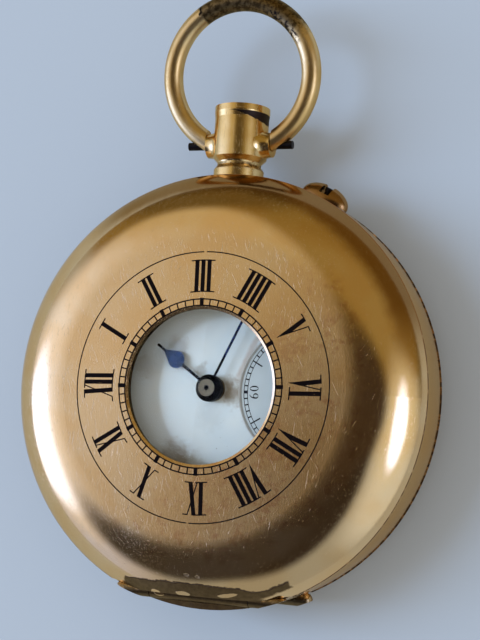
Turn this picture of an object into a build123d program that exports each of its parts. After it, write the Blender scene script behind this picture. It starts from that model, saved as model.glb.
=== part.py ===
import os
from math import acos, asin, atan2, cos, degrees, radians, sin, sqrt

from build123d import *

# Half hunter pocket watch lying on its back, dial up. Millimetres.
# The origin is the centre of the flat land that the back cover rests on.
# +Z is the dial's normal, +Y points to the pendant and +X to VI on the dial.

# Case: driving dimensions
case_radius = 25.0
band_crown = 0.12
back_joint_z = 4.3
front_joint_z = 10.9
lid_top_z = 15.5
joint_gap = 0.05
running_clearance = 0.04
seat_clearance = 0.03
piece_gap = 0.1
overrun = 2.0
mid_z = (back_joint_z + front_joint_z) / 2

# Front cover
cover_wall = 0.55
shoulder_width = 8.0
face_rise = 0.18
window_radius = 8.7
window_bevel_width = 0.29
window_bevel_depth = 0.14
window_glass_radius = 9.3
window_glass_thickness = 0.5
window_glass_gap = 0.06
retainer_radius = 10.3
retainer_lip = 0.3
retainer_inner_radius = 8.95

# Back cover
land_radius = 9.5
land_rise = 0.3

# Hinges of the two covers
hinge_y = -23.3
knuckle_radius = 0.8
knuckle_half_length = 6.0
front_hinge_round = 25.1
back_hinge_round = 25.9
front_wing_reach = 9.6
back_wing_reach = 10.4
hinge_pin_radius = 0.34
hinge_pin_half_length = 8.3
hinge_wall = 0.6
ledge_drop = 0.25

# Case band
band_outer_wall = 0.8
channel_width = 1.3
channel_depth = 2.6
movement_seat_radius = 21.3
ledge_radius = 20.6
ledge_height = 0.6
front_rim_width = 0.5
front_rim_height = 0.7
cuvette_recess_depth = 0.8

# Cuvette, the inner dust cover at the back
cuvette_radius = 22.4
cuvette_thickness = 0.4
cuvette_flange_radius = 20.95
cuvette_flat_radius = 20.0
cuvette_dome_depth = 1.85
cuvette_wall = 0.3
cuvette_hinge_y = -21.3
cuvette_hinge_rise = 0.45
cuvette_hinge_relief = 0.3
cuvette_knuckle_radius = 0.42
cuvette_knuckle_half_length = 4.0
cuvette_lug_length = 3.2
cuvette_pin_radius = 0.18

# Inner bezel and crystal
bezel_outer_radius = 22.1
bezel_inner_radius = 19.9
bezel_top_radius = 20.9
bezel_height = 1.5
crystal_radius = 20.5
crystal_thickness = 0.45
crystal_edge_z = 12.3
crystal_rise = 1.25

# Pendant, bow and bow pins
pendant_radius = 3.2
pendant_rim_radius = 3.28
pendant_rim_width = 0.7
pendant_base_y = 27.2
pendant_top_y = 33.55
pendant_corner = 0.55
groove_radius = 2.6
groove_y = 26.5
neck_ring_radius = 2.97
neck_ring_y = 25.55
neck_ring_width = 0.9
pendant_bore_radius = 2.35
stem_bore_radius = 1.0
boss_radius = 1.45
boss_waist_radius = 1.6
boss_flare_radius = 2.2
boss_reach = 4.0
bow_ring_radius = 8.72
bow_wire_radius = 1.15
bow_ring_distance = 8.25
bow_lift_angle = 8.5
bow_axis_y = 29.1
bow_side_gap = 0.06
bow_pin_radius = 0.48
bow_pin_reach = 6.55
bow_pin_depth = 0.7

# Guard and push pin for setting the hands
guard_angle = 64.3
guard_length = 6.0
guard_width = 2.9
guard_height = 1.75
guard_slot = 1.25
push_pin_radius = 0.42
push_pin_travel = 0.3
push_pin_head_radius = 0.54
push_pin_head_length = 0.5

# Springs of the front cover, in the band's channel
spring_strip = 0.35
spring_height = 1.8
lift_spring_start = 120.0
lift_spring_sweep = 110.0
lock_spring_start = 20.0
lock_spring_sweep = 78.0

# Levels of the movement
plate_top_z = 9.5
plate_thickness = 1.4
dial_bottom_z = 10.2
dial_thickness = 0.8
bridge_top_z = 5.2
bridge_thickness = 0.8
winding_wheel_thickness = 0.55
plate_bottom_z = plate_top_z - plate_thickness
bridge_bottom_z = bridge_top_z - bridge_thickness
dial_top_z = dial_bottom_z + dial_thickness
wheel_back_z = bridge_bottom_z - winding_wheel_thickness - piece_gap / 2

# Plate, bridges and their screws
plate_radius = 21.2
bridge_radius = 20.4
bridge_wall = 1.2
bridge_split_y = 2.3
bridge_gap = 0.2
stem_passage = 4.6
balance_window_radius = 5.6
cock_width = 5.0
screw_head_radius = 0.55
screw_head_height = 0.35
screw_shank_radius = 0.33
screw_slot = 0.18
jewel_radius = 0.7
jewel_height = 0.45
pivot_radius = 0.14
pivot_clearance = 0.03
arbor_radius = 0.32

# Dial and the sunk seconds dial
dial_radius = 20.9
seconds_x = 10.8
seconds_sunk_radius = 7.7
seconds_sunk_depth = 0.35
dial_centre_hole = 1.45
seconds_hole = 0.45

# Tooth form, as shares of module and pitch
wheel_addendum_share = 1.1
pinion_addendum_share = 0.8
dedendum_share = 1.6
wheel_tooth_share = 0.2
pinion_tooth_share = 0.17
tooth_tip_share = 0.07
winding_addendum_share = 0.75
winding_tooth_share = 0.2

# Going train
barrel_teeth = 84
barrel_module = 0.19
centre_pinion_leaves = 12
barrel_direction = 125.0
barrel_bottom_z = 6.2
barrel_height = 1.75
barrel_drum_radius = 7.4
barrel_wall = 0.35
barrel_flange_height = 0.5
barrel_flange_drop = 0.2
barrel_cover_thickness = 0.3
barrel_arbor_radius = 1.2
centre_teeth = 80
centre_module = 0.15
third_leaves = 10
third_teeth = 75
third_module = 0.13
fourth_leaves = 10
fourth_teeth = 80
fourth_module = 0.1
escape_leaves = 8
train_wheel_thickness = 0.22
centre_wheel_z = 5.4
fourth_wheel_z = 5.8
third_wheel_z = 6.15
pinion_overhang = 0.12
centre_arbor_radius = 0.45
train_rim_share = 0.16
train_arm_share = 0.11
train_hub_share = 0.22
train_arms = 5

# Escapement
escape_direction = -70.0
escape_radius = 2.7
escape_tooth_count = 15
escape_tooth_depth = 0.75
escape_tooth_width = 0.3
escape_arms = 4
escape_wheel_z = 7.35
pallet_distance = 3.6
pallet_direction = -125.0
pallet_clearance = 0.12
pallet_stone_width = 0.35
pallet_stone_length = 0.8
pallet_stone_angle = 50.0
fork_width = 0.4
fork_notch = 0.5
fork_horn = 0.3
fork_end_gap = 0.55
balance_distance = 4.8
balance_direction = -140.0
balance_rim_radius = 5.5
balance_rim_width = 0.6
balance_rim_z = 6.5
balance_rim_height = 0.55
balance_arm_width = 0.7
balance_screw_radius = 0.22
balance_screw_length = 0.45
balance_screw_count = 12
roller_radius = 1.1
roller_height = 0.25
impulse_pin_radius = 0.14
impulse_pin_share = 0.72
collet_radius = 0.6
hairspring_start = 1.0
hairspring_pitch = 0.6
hairspring_half_turns = 7
hairspring_strip = 0.12
hairspring_height = 0.22
hairspring_z = 5.45
mainspring_start = 1.75
mainspring_pitch = 1.05
mainspring_half_turns = 10
mainspring_strip = 0.3

# Regulator on the cock
regulator_radius = 1.1
regulator_length = 4.0
regulator_width = 0.45
regulator_thickness = 0.25

# Winding work
winding_module = 0.28
crown_teeth = 24
ratchet_teeth = 36
contrate_radius = 2.75
contrate_width = 0.45
contrate_tooth_share = 0.2
winding_pinion_leaves = 18
winding_pinion_width = 0.9
winding_pinion_depth = 0.2
crown_boss_wall = 0.4
crown_boss_floor = 0.25
stem_radius = 0.85
stem_inner_end_gap = 0.6
stem_tap_radius = 0.55
stem_top_y = 31.6
stem_tap_top_y = 33.3
sliding_pinion_radius = 1.35
sliding_pinion_length = 1.0
sliding_pinion_gap = 0.25
sliding_groove_radius = 1.0
lever_tip_gap = 0.22
sliding_groove_width = 0.5
click_distance = 8.0
click_direction = 200.0
click_radius = 0.8
click_thickness = 0.45
click_clearance = 0.06
click_tip_turn = 12.0
click_spring_width = 0.25
click_spring_length = 5.0
click_spring_turn = 75.0

# Setting lever between the push pin and the sliding pinion
lever_pivot_x = 16.2
lever_pivot_y = 7.6
lever_bend_radius = 19.0
lever_half_width = 0.4
lever_thickness = 0.3
lever_pivot_radius = 0.7
lever_stud_radius = 0.3

# Motion work and hands
cannon_leaves = 12
minute_wheel_teeth = 36
minute_pinion_leaves = 10
hour_teeth = 40
cannon_module = 0.15
hour_module = 0.144
minute_wheel_direction = 100.0
cannon_radius = 0.8
hour_tube_radius = 1.15
motion_wheel_thickness = 0.2
minute_wheel_z = 9.58
hour_wheel_z = 9.92
hour_hand_z = 11.75
hour_hand_thickness = 0.18
minute_hand_z = 12.35
minute_hand_thickness = 0.15
hand_boss_radius = 1.55
hub_top_z = 13.15
hub_disc_radius = 0.97
hub_hole_radius = 0.25
hub_hole_depth = 0.3
hour_hand_angle = 145.0
hour_hand_length = 8.4
hour_bulb_place = 5.46
hour_bulb_radius = 1.0
hour_stem_width = 0.34
hour_tip_width = 0.3
hour_shoulder_share = 0.85
hour_neck_share = 1.7
minute_hand_angle = 65.3
minute_hand_length = 13.0
minute_stem_width = 0.26
minute_bulb_place = 10.2
minute_bulb_radius = 0.8
seconds_hand_z = 11.3
seconds_hand_thickness = 0.12
seconds_hand_length = 6.0
seconds_hand_tail = 1.6
seconds_hand_width = 0.22
seconds_boss_radius = 0.6


def polar(radius, angle, centre=(0, 0)):
    return (centre[0] + radius * cos(radians(angle)), centre[1] + radius * sin(radians(angle)))


def disc(radius, low, high, at=(0, 0)):
    body = Cylinder(radius, high - low, align=(Align.CENTER, Align.CENTER, Align.MIN))
    return Pos(at[0], at[1], low) * body


def ring(outer, inner, low, high, at=(0, 0)):
    return disc(outer, low, high, at) - disc(inner, low - overrun, high + overrun, at)


def block(x0, x1, y0, y1, z0, z1):
    body = Box(x1 - x0, y1 - y0, z1 - z0)
    return Pos((x0 + x1) / 2, (y0 + y1) / 2, (z0 + z1) / 2) * body


def rod_x(radius, x0, x1, y, z):
    return Pos((x0 + x1) / 2, y, z) * Rot(0, 90, 0) * Cylinder(radius, x1 - x0)


def rod_y(radius, y0, y1, x, z):
    return Pos(x, (y0 + y1) / 2, z) * Rot(90, 0, 0) * Cylinder(radius, y1 - y0)


def turned(*edges):
    return revolve(make_face(Wire(edges)), Axis.Z)


def at_rz(radius, height):
    return (radius, 0, height)


def line(a, b):
    return Line(at_rz(*a), at_rz(*b)).edge()


def bar(start, end, width, low, high):
    length = sqrt((end[0] - start[0]) ** 2 + (end[1] - start[1]) ** 2)
    angle = degrees(atan2(end[1] - start[1], end[0] - start[0]))
    middle = ((start[0] + end[0]) / 2, (start[1] + end[1]) / 2, (low + high) / 2)
    return Pos(*middle) * Rot(0, 0, angle) * Box(length, width, high - low)


def sector_wedge(start, sweep, reach, low, high):
    step = sweep / 3
    points = [(0, 0)] + [polar(reach, start + step * i) for i in range(4)]
    face = make_face(Polyline(*points, close=True))
    return Pos(0, 0, low) * extrude(face, high - low)


def gear_face(teeth, module, addendum, tooth_share, phase):
    pitch = 360 / teeth
    pitch_radius = teeth * module / 2
    root = pitch_radius - dedendum_share * module
    tip = pitch_radius + addendum * module
    points = []
    for tooth in range(teeth):
        middle = phase + tooth * pitch
        for radius, share in ((root, -tooth_share), (pitch_radius, -tooth_share), (tip, -tooth_tip_share),
                              (tip, tooth_tip_share), (pitch_radius, tooth_share), (root, tooth_share)):
            points.append(polar(radius, middle + share * pitch))
    return make_face(Polyline(*points, close=True))


def gear(teeth, module, addendum, tooth_share, phase, at, low, high):
    face = gear_face(teeth, module, addendum, tooth_share, phase)
    return Pos(at[0], at[1], low) * extrude(face, high - low)


def wheel(teeth, module, phase, at, low, arms):
    high = low + train_wheel_thickness
    pitch_radius = teeth * module / 2
    inner = pitch_radius * (1 - train_rim_share) - dedendum_share * module
    body = gear(teeth, module, wheel_addendum_share, wheel_tooth_share, phase, at, low, high)
    body -= disc(inner, low - overrun, high + overrun, at)
    body += disc(pitch_radius * train_hub_share, low, high, at)
    reach = inner + module
    for arm in range(arms):
        body += bar(at, polar(reach, 360 * arm / arms, at), pitch_radius * train_arm_share, low, high)
    return body


def pinion(leaves, module, phase, at, low, high):
    return gear(leaves, module, pinion_addendum_share, pinion_tooth_share, phase, at, low, high)


def mesh_phase(phase, teeth, direction, other_teeth):
    turn = (direction - phase) * teeth / 360
    return direction + 180 - (0.5 - turn) * 360 / other_teeth


def direction_of(a, b):
    return degrees(atan2(b[1] - a[1], b[0] - a[0]))


def spiral(start, pitch, half_turns, strip, low, high, at):
    body = None
    for turn in range(half_turns):
        radius = start + turn * pitch / 2
        side = 1 if turn % 2 == 0 else -1
        centre = (at[0] + side * pitch / 4, at[1])
        half = ring(radius + strip / 2, radius - strip / 2, low, high, centre)
        reach = radius + strip
        if side > 0:
            half &= block(centre[0] - reach, centre[0] + reach, at[1], at[1] + reach, low, high)
        else:
            half &= block(centre[0] - reach, centre[0] + reach, at[1] - reach, at[1], low, high)
        body = half if body is None else body + half
    return body


# Places of the wheels, worked out from their teeth
barrel_at = polar((barrel_teeth + centre_pinion_leaves) * barrel_module / 2, barrel_direction)
centre_at = (0, 0)
fourth_at = (seconds_x, 0)
centre_third = (centre_teeth + third_leaves) * centre_module / 2
third_fourth = (third_teeth + fourth_leaves) * third_module / 2
third_angle = degrees(acos((centre_third ** 2 + seconds_x ** 2 - third_fourth ** 2)
                           / (2 * centre_third * seconds_x)))
third_at = polar(centre_third, -third_angle)
escape_at = polar((fourth_teeth + escape_leaves) * fourth_module / 2, escape_direction, fourth_at)
pallet_at = polar(pallet_distance, pallet_direction, escape_at)
balance_at = polar(balance_distance, balance_direction, pallet_at)
winding_centres = (crown_teeth + ratchet_teeth) * winding_module / 2
crown_at = (0, barrel_at[1] + sqrt(winding_centres ** 2 - barrel_at[0] ** 2))
minute_at = polar((cannon_leaves + minute_wheel_teeth) * cannon_module / 2, minute_wheel_direction)
click_at = polar(click_distance, click_direction, barrel_at)
balance_edge_angle = degrees(atan2(balance_at[1], balance_at[0]))

channel_outer = case_radius - band_outer_wall
channel_inner = channel_outer - channel_width
channel_floor = front_joint_z - channel_depth
stem_z = mid_z
winding_pinion_y = crown_at[1] + contrate_radius
pinion_pitch_radius = contrate_radius * winding_pinion_leaves / crown_teeth
cover_shoulder = case_radius - shoulder_width


def cover_solid(lip_z, edge_z, top_z, inner_radius, toward, offset):
    rise = abs(edge_z - lip_z)
    outer_arc = (shoulder_width ** 2 + rise ** 2) / (2 * rise)
    arc_radius = outer_arc - offset
    arc_z = edge_z - toward * outer_arc
    lip_height = toward * (lip_z - arc_z)
    lip_radius = cover_shoulder + sqrt(arc_radius ** 2 - lip_height ** 2)
    half_angle = acos(lip_height / arc_radius) / 2
    middle = (cover_shoulder + arc_radius * sin(half_angle), arc_z + toward * arc_radius * cos(half_angle))
    high_edge = edge_z - toward * offset
    high_top = top_z - toward * offset
    curve = ThreePointArc(at_rz(lip_radius, lip_z), at_rz(*middle), at_rz(cover_shoulder, high_edge)).edge()
    return turned(curve, line((cover_shoulder, high_edge), (inner_radius, high_top)),
                  line((inner_radius, high_top), (0, high_top)),
                  line((0, high_top), (0, lip_z)),
                  line((0, lip_z), (lip_radius, lip_z)))


def front_cover():
    lip_z = front_joint_z + joint_gap
    edge_z = lid_top_z - face_rise
    bevel_radius = window_radius + window_bevel_width
    outside = cover_solid(lip_z, edge_z, lid_top_z, bevel_radius, 1, 0)
    body = outside - cover_solid(lip_z, edge_z, lid_top_z, bevel_radius, 1, cover_wall)
    body -= disc(window_radius, lip_z, lid_top_z + overrun)
    low = lid_top_z - window_bevel_depth
    body -= Pos(0, 0, low) * Cone(window_radius, bevel_radius, window_bevel_depth,
                                  align=(Align.CENTER, Align.CENTER, Align.MIN))
    wall = outside & block(-case_radius, case_radius, hinge_y, hinge_y + hinge_wall, lip_z, lid_top_z)
    body += wall
    return hinge_cut(body, front_joint_z)


def hinge_cut(body, axis_z):
    reach = case_radius + overrun
    clear = knuckle_radius + piece_gap
    body -= block(-reach, reach, -reach, hinge_y, -overrun, lid_top_z + overrun)
    start = knuckle_half_length
    body -= rod_x(clear, start, reach, hinge_y, axis_z)
    body -= rod_x(clear, -reach, -start, hinge_y, axis_z)
    half = knuckle_half_length - piece_gap / 2
    body += rod_x(knuckle_radius, -half, half, hinge_y, axis_z)
    body -= rod_x(hinge_pin_radius + running_clearance, -reach, reach, hinge_y, axis_z)
    return body


def back_cover():
    lip_z = back_joint_z - joint_gap
    edge_z = land_rise
    outside = cover_solid(lip_z, edge_z, 0, land_radius, -1, 0)
    inside = cover_solid(lip_z, edge_z, 0, land_radius, -1, cover_wall)
    body = outside - inside
    wall = outside & block(-case_radius, case_radius, hinge_y, hinge_y + hinge_wall, 0, lip_z)
    body += wall
    return hinge_cut(body, back_joint_z)


def hinge_pin(axis_z):
    return rod_x(hinge_pin_radius, -hinge_pin_half_length, hinge_pin_half_length, hinge_y, axis_z)


def case_band():
    low = back_joint_z
    high = front_joint_z
    edge = case_radius - band_crown
    outer = ThreePointArc(at_rz(edge, low), at_rz(case_radius, mid_z), at_rz(edge, high)).edge()
    body = turned(outer, line((edge, high), (movement_seat_radius, high)),
                  line((movement_seat_radius, high), (movement_seat_radius, low)),
                  line((movement_seat_radius, low), (edge, low)))
    body -= ring(channel_outer, channel_inner, channel_floor, high + overrun)
    body += ring(movement_seat_radius + seat_clearance, ledge_radius,
                 plate_bottom_z - ledge_height, plate_bottom_z)
    body += ring(movement_seat_radius + front_rim_width, movement_seat_radius,
                 high - overrun, high + front_rim_height)
    recess = cuvette_radius + piece_gap
    body -= disc(recess, low - overrun, low + cuvette_recess_depth)
    reach = case_radius + overrun
    body -= block(-reach, reach, -reach, hinge_y, high - ledge_drop, high + overrun)
    body -= block(-reach, reach, -reach, hinge_y, low - overrun, low + ledge_drop)
    clear = knuckle_radius + piece_gap
    wings = ((low, back_hinge_round, back_wing_reach), (high, front_hinge_round, front_wing_reach))
    for axis_z, round_radius, wing_reach in wings:
        body -= rod_x(clear, -knuckle_half_length, knuckle_half_length, hinge_y, axis_z)
        outline = disc(round_radius, axis_z - clear, axis_z + clear)
        for side in (-1, 1):
            ends = sorted((side * (knuckle_half_length + piece_gap / 2), side * wing_reach))
            wing = rod_x(knuckle_radius, ends[0], ends[1], hinge_y, axis_z)
            wing += Pos(side * wing_reach, hinge_y, axis_z) * Sphere(knuckle_radius)
            body += wing & outline
        body -= rod_x(hinge_pin_radius, -hinge_pin_half_length, hinge_pin_half_length, hinge_y, axis_z)
    axis_z = low + cuvette_hinge_rise
    body -= rod_x(cuvette_knuckle_radius + piece_gap, -cuvette_knuckle_half_length,
                  cuvette_knuckle_half_length, cuvette_hinge_y, axis_z)
    far = cuvette_knuckle_half_length + cuvette_lug_length
    for side in (-1, 1):
        ends = sorted((side * (cuvette_knuckle_half_length + piece_gap / 2), side * far))
        lug = rod_x(cuvette_knuckle_radius, ends[0], ends[1], cuvette_hinge_y, axis_z)
        top = low + cuvette_recess_depth + piece_gap
        lug += block(ends[0], ends[1], cuvette_hinge_y - cuvette_knuckle_radius,
                     cuvette_hinge_y, axis_z, top)
        body += lug
    body -= rod_x(cuvette_pin_radius, -far, far, cuvette_hinge_y, axis_z)
    body -= rod_y(stem_bore_radius, 0, reach, 0, stem_z)
    body -= radial_rod(push_pin_radius + running_clearance, ledge_radius - overrun, reach)
    return body


def radial_rod(radius, start, end):
    middle = polar((start + end) / 2, guard_angle)
    return Pos(middle[0], middle[1], mid_z) * Rot(0, 0, guard_angle) * Rot(0, 90, 0) * Cylinder(
        radius, end - start)


def cuvette():
    axis_z = back_joint_z + cuvette_hinge_rise
    high = back_joint_z + cuvette_recess_depth - piece_gap
    low = high - cuvette_thickness
    flat = high - cuvette_dome_depth
    floor = flat - cuvette_thickness
    outer_flat = cuvette_flat_radius + cuvette_wall
    outer_flange = cuvette_flange_radius + cuvette_wall
    body = turned(line((cuvette_radius, low), (cuvette_radius, high)),
                  line((cuvette_radius, high), (cuvette_flange_radius, high)),
                  line((cuvette_flange_radius, high), (cuvette_flat_radius, flat)),
                  line((cuvette_flat_radius, flat), (0, flat)),
                  line((0, flat), (0, floor)),
                  line((0, floor), (outer_flat, floor)),
                  line((outer_flat, floor), (outer_flange, low)),
                  line((outer_flange, low), (cuvette_radius, low)))
    reach = cuvette_radius + overrun
    body -= block(-reach, reach, -reach, cuvette_hinge_y + 2 * piece_gap, floor - overrun, high + overrun)
    body &= disc(cuvette_radius, floor - overrun, high + overrun, (0, cuvette_hinge_relief))
    clear = cuvette_knuckle_radius + piece_gap
    start = cuvette_knuckle_half_length
    body -= rod_x(clear, start, reach, cuvette_hinge_y, axis_z)
    body -= rod_x(clear, -reach, -start, cuvette_hinge_y, axis_z)
    half = cuvette_knuckle_half_length - piece_gap / 2
    body += rod_x(cuvette_knuckle_radius, -half, half, cuvette_hinge_y, axis_z)
    body -= rod_x(cuvette_pin_radius + running_clearance, -reach, reach, cuvette_hinge_y, axis_z)
    return body


def cuvette_hinge_pin():
    far = cuvette_knuckle_half_length + cuvette_lug_length
    return rod_x(cuvette_pin_radius, -far, far, cuvette_hinge_y, back_joint_z + cuvette_hinge_rise)


def inner_bezel():
    low = front_joint_z + joint_gap
    high = low + bezel_height
    rim_outer = movement_seat_radius + front_rim_width
    body = turned(line((bezel_outer_radius, low), (bezel_outer_radius, low + bezel_height / 2)),
                  line((bezel_outer_radius, low + bezel_height / 2), (bezel_top_radius, high)),
                  line((bezel_top_radius, high), (bezel_inner_radius, high)),
                  line((bezel_inner_radius, high), (bezel_inner_radius, low + bezel_height / 3)),
                  line((bezel_inner_radius, low + bezel_height / 3), (dial_radius + piece_gap, low)),
                  line((dial_radius + piece_gap, low), (bezel_outer_radius, low)))
    groove = ring(rim_outer + seat_clearance, movement_seat_radius - seat_clearance,
                  low - overrun, front_joint_z + front_rim_height + seat_clearance)
    body -= groove
    body -= crystal_blank(seat_clearance)
    return body


def crystal_blank(grow):
    low = crystal_edge_z - grow
    return disc(crystal_radius + grow, low, crystal_edge_z + crystal_thickness + grow)


def cap_arc(radius, base, rise, outward):
    sphere = (radius ** 2 + rise ** 2) / (2 * rise)
    half_angle = asin(radius / sphere) / 2
    middle = (sphere * sin(half_angle), base + rise - sphere * (1 - cos(half_angle)))
    ends = [(radius, base), (0, base + rise)]
    if outward:
        ends.reverse()
    return ThreePointArc(at_rz(*ends[0]), at_rz(*middle), at_rz(*ends[1])).edge()


def crystal():
    low = crystal_edge_z
    high = low + crystal_thickness
    return turned(cap_arc(crystal_radius, low, crystal_rise, False),
                  line((0, low + crystal_rise), (0, high + crystal_rise)),
                  cap_arc(crystal_radius, high, crystal_rise, True),
                  line((crystal_radius, high), (crystal_radius, low)))


def window_glass_top():
    return lid_top_z - cover_wall - window_glass_gap


def cover_window_glass():
    high = window_glass_top()
    return disc(window_glass_radius, high - window_glass_thickness, high)


def window_retaining_ring():
    high = window_glass_top()
    low = high - window_glass_thickness - seat_clearance
    body = ring(retainer_radius, window_glass_radius + seat_clearance, low, high)
    return body + ring(retainer_radius, retainer_inner_radius, low - retainer_lip, low)


def bow_boss():
    root = 2 * pendant_radius - boss_reach
    flare = ThreePointArc((root, boss_flare_radius), (pendant_radius, boss_waist_radius),
                          (boss_reach, boss_radius)).edge()
    rest = Polyline((boss_reach, boss_radius), (boss_reach, 0), (root, 0), (root, boss_flare_radius))
    return revolve(make_face([flare, *rest.edges()]), Axis.X)


def pendant_tube():
    base = case_radius - overrun
    profile = Polyline((0, base), (neck_ring_radius, base),
                       (neck_ring_radius, neck_ring_y + neck_ring_width / 2),
                       (groove_radius, groove_y), (groove_radius, groove_y + neck_ring_width / 3),
                       (pendant_radius - pendant_corner, pendant_base_y - pendant_corner / 2),
                       (pendant_radius, pendant_base_y + pendant_corner / 2),
                       (pendant_radius, pendant_top_y - 2 * pendant_rim_width),
                       (pendant_rim_radius, pendant_top_y - pendant_rim_width),
                       (pendant_rim_radius, pendant_top_y), (0, pendant_top_y), close=True)
    body = Pos(0, 0, stem_z) * revolve(make_face(profile), Axis.Y)
    for turn in (0, 180):
        body += Pos(0, bow_axis_y, stem_z) * Rot(0, turn, 0) * bow_boss()
    body -= disc(case_radius + seat_clearance, -overrun, lid_top_z + overrun)
    body -= rod_y(pendant_bore_radius, pendant_base_y, pendant_top_y + overrun, 0, stem_z)
    body -= rod_y(stem_bore_radius, base, pendant_top_y, 0, stem_z)
    for side in (-1, 1):
        ends = sorted((side * (boss_reach - bow_pin_depth), side * (boss_reach + overrun)))
        body -= rod_x(bow_pin_radius, ends[0], ends[1], bow_axis_y, stem_z)
    return body


def bow():
    body = Pos(0, bow_ring_distance, 0) * Torus(bow_ring_radius, bow_wire_radius)
    half = boss_reach + bow_side_gap
    low = bow_ring_distance - bow_ring_radius - overrun
    body -= block(-half, half, low, bow_ring_distance, -overrun, overrun)
    body -= rod_x(bow_pin_radius + running_clearance, -bow_ring_radius, bow_ring_radius, 0, 0)
    return Pos(0, bow_axis_y, stem_z) * Rot(bow_lift_angle, 0, 0) * body


def bow_pins():
    start = boss_reach - bow_pin_depth
    return Compound([rod_x(bow_pin_radius, *sorted((side * start, side * bow_pin_reach)),
                           bow_axis_y, stem_z).solid() for side in (-1, 1)])


def setting_guard():
    centre = polar(case_radius + seat_clearance, guard_angle)
    lobes = Sphere(1.0)
    lobes = scale(lobes, by=(guard_height, guard_length / 2, guard_width / 2))
    body = Pos(centre[0], centre[1], mid_z) * Rot(0, 0, guard_angle) * lobes
    body -= disc(case_radius + seat_clearance, -overrun, lid_top_z)
    slot = Box(guard_length, guard_slot, guard_width + overrun)
    outer = polar(case_radius + guard_length / 2 + guard_height / 3, guard_angle)
    body -= Pos(outer[0], outer[1], mid_z) * Rot(0, 0, guard_angle) * slot
    body -= radial_rod(push_pin_radius + running_clearance, case_radius - overrun, case_radius + overrun)
    return body


def setting_pin():
    end = lever_bend_radius + lever_half_width + piece_gap
    tip = case_radius + guard_height / 3 + piece_gap + push_pin_travel + push_pin_head_length
    body = radial_rod(push_pin_radius, end, tip)
    return body + radial_rod(push_pin_head_radius, tip - push_pin_head_length, tip)


def cover_spring(start, sweep):
    middle = (channel_outer + channel_inner) / 2
    low = front_joint_z - spring_height - piece_gap
    strip = ring(middle + spring_strip / 2, middle - spring_strip / 2, low, front_joint_z - piece_gap)
    return strip & sector_wedge(start, sweep, case_radius * 2, low, front_joint_z)


def lift_spring():
    return cover_spring(lift_spring_start, lift_spring_sweep)


def lock_spring():
    return cover_spring(lock_spring_start, lock_spring_sweep)


def main_plate():
    body = disc(plate_radius, plate_bottom_z, plate_top_z)
    body -= block(-stem_passage / 2, stem_passage / 2, crown_at[1], plate_radius + overrun,
                  plate_bottom_z - overrun, plate_top_z + overrun)
    through = plate_bottom_z - overrun
    top = plate_top_z + overrun
    body -= disc(centre_arbor_radius + running_clearance, through, top, centre_at)
    body -= disc(arbor_radius + running_clearance, through, top, fourth_at)
    for place in (third_at, escape_at, pallet_at, balance_at):
        body -= disc(pivot_radius + pivot_clearance, through, top, place)
    body -= disc(barrel_arbor_radius / 2 + running_clearance, through, top, barrel_at)
    return body


def bridge_blank(y0, y1):
    body = disc(bridge_radius, bridge_bottom_z, bridge_top_z)
    inner = bridge_radius - bridge_wall
    body += ring(bridge_radius, inner, bridge_top_z, plate_bottom_z)
    reach = bridge_radius + overrun
    return body & block(-reach, reach, y0, y1, bridge_bottom_z - overrun, plate_bottom_z)


def screw_places():
    radius = bridge_radius - bridge_wall / 2
    return [polar(radius, angle) for angle in (30, 115, 165, 200, 255, 340, balance_edge_angle)]


def screw_holes():
    holes = None
    for place in screw_places():
        hole = disc(screw_shank_radius + seat_clearance, bridge_bottom_z - overrun, plate_bottom_z, place)
        holes = hole if holes is None else holes + hole
    return holes


def barrel_bridge():
    reach = bridge_radius + overrun
    low = bridge_bottom_z - overrun
    body = bridge_blank(bridge_split_y + bridge_gap / 2, reach)
    half = stem_passage / 2
    body -= block(-half, half, crown_at[1], reach, bridge_top_z, plate_bottom_z)
    groove_outer = contrate_radius + contrate_width / 2 + piece_gap
    groove_inner = contrate_radius - contrate_width / 2 - piece_gap
    groove_top = contrate_tooth_top() + piece_gap
    boss_top = groove_top + crown_boss_floor
    body += disc(groove_outer + crown_boss_wall, bridge_bottom_z, boss_top, crown_at)
    body -= ring(groove_outer, groove_inner, low, groove_top, crown_at)
    pinion_inner = winding_pinion_y - winding_pinion_width / 2 - piece_gap
    pinion_outer = winding_pinion_y + winding_pinion_width / 2 + piece_gap
    pinion_low = stem_z - pinion_pitch_radius - winding_pinion_depth * 2
    body -= block(-half, half, pinion_inner, pinion_outer, pinion_low, plate_bottom_z)
    body -= disc(barrel_arbor_radius / 2 + running_clearance, low, plate_bottom_z, barrel_at)
    body -= bar(polar(bridge_radius - bridge_wall * 3, guard_angle), polar(reach, guard_angle),
                lever_bend_radius / 2, mid_z - push_pin_head_radius * 2, plate_bottom_z)
    body -= screw_holes()
    return body


def train_bridge():
    reach = bridge_radius + overrun
    low = bridge_bottom_z - overrun
    body = bridge_blank(-reach, bridge_split_y - bridge_gap / 2)
    body -= disc(balance_window_radius, low, plate_bottom_z, balance_at)
    end = polar(reach, balance_edge_angle)
    body -= bar(balance_at, end, cock_width + bridge_gap * 2, low, plate_bottom_z)
    for place in (third_at, fourth_at, escape_at):
        body -= disc(jewel_radius, low, bridge_top_z - jewel_height / 2, place)
        body -= disc(pivot_radius + pivot_clearance, low, bridge_top_z + overrun, place)
    body -= disc(centre_arbor_radius + running_clearance, low, bridge_top_z + overrun, centre_at)
    body -= screw_holes()
    return body


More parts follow.
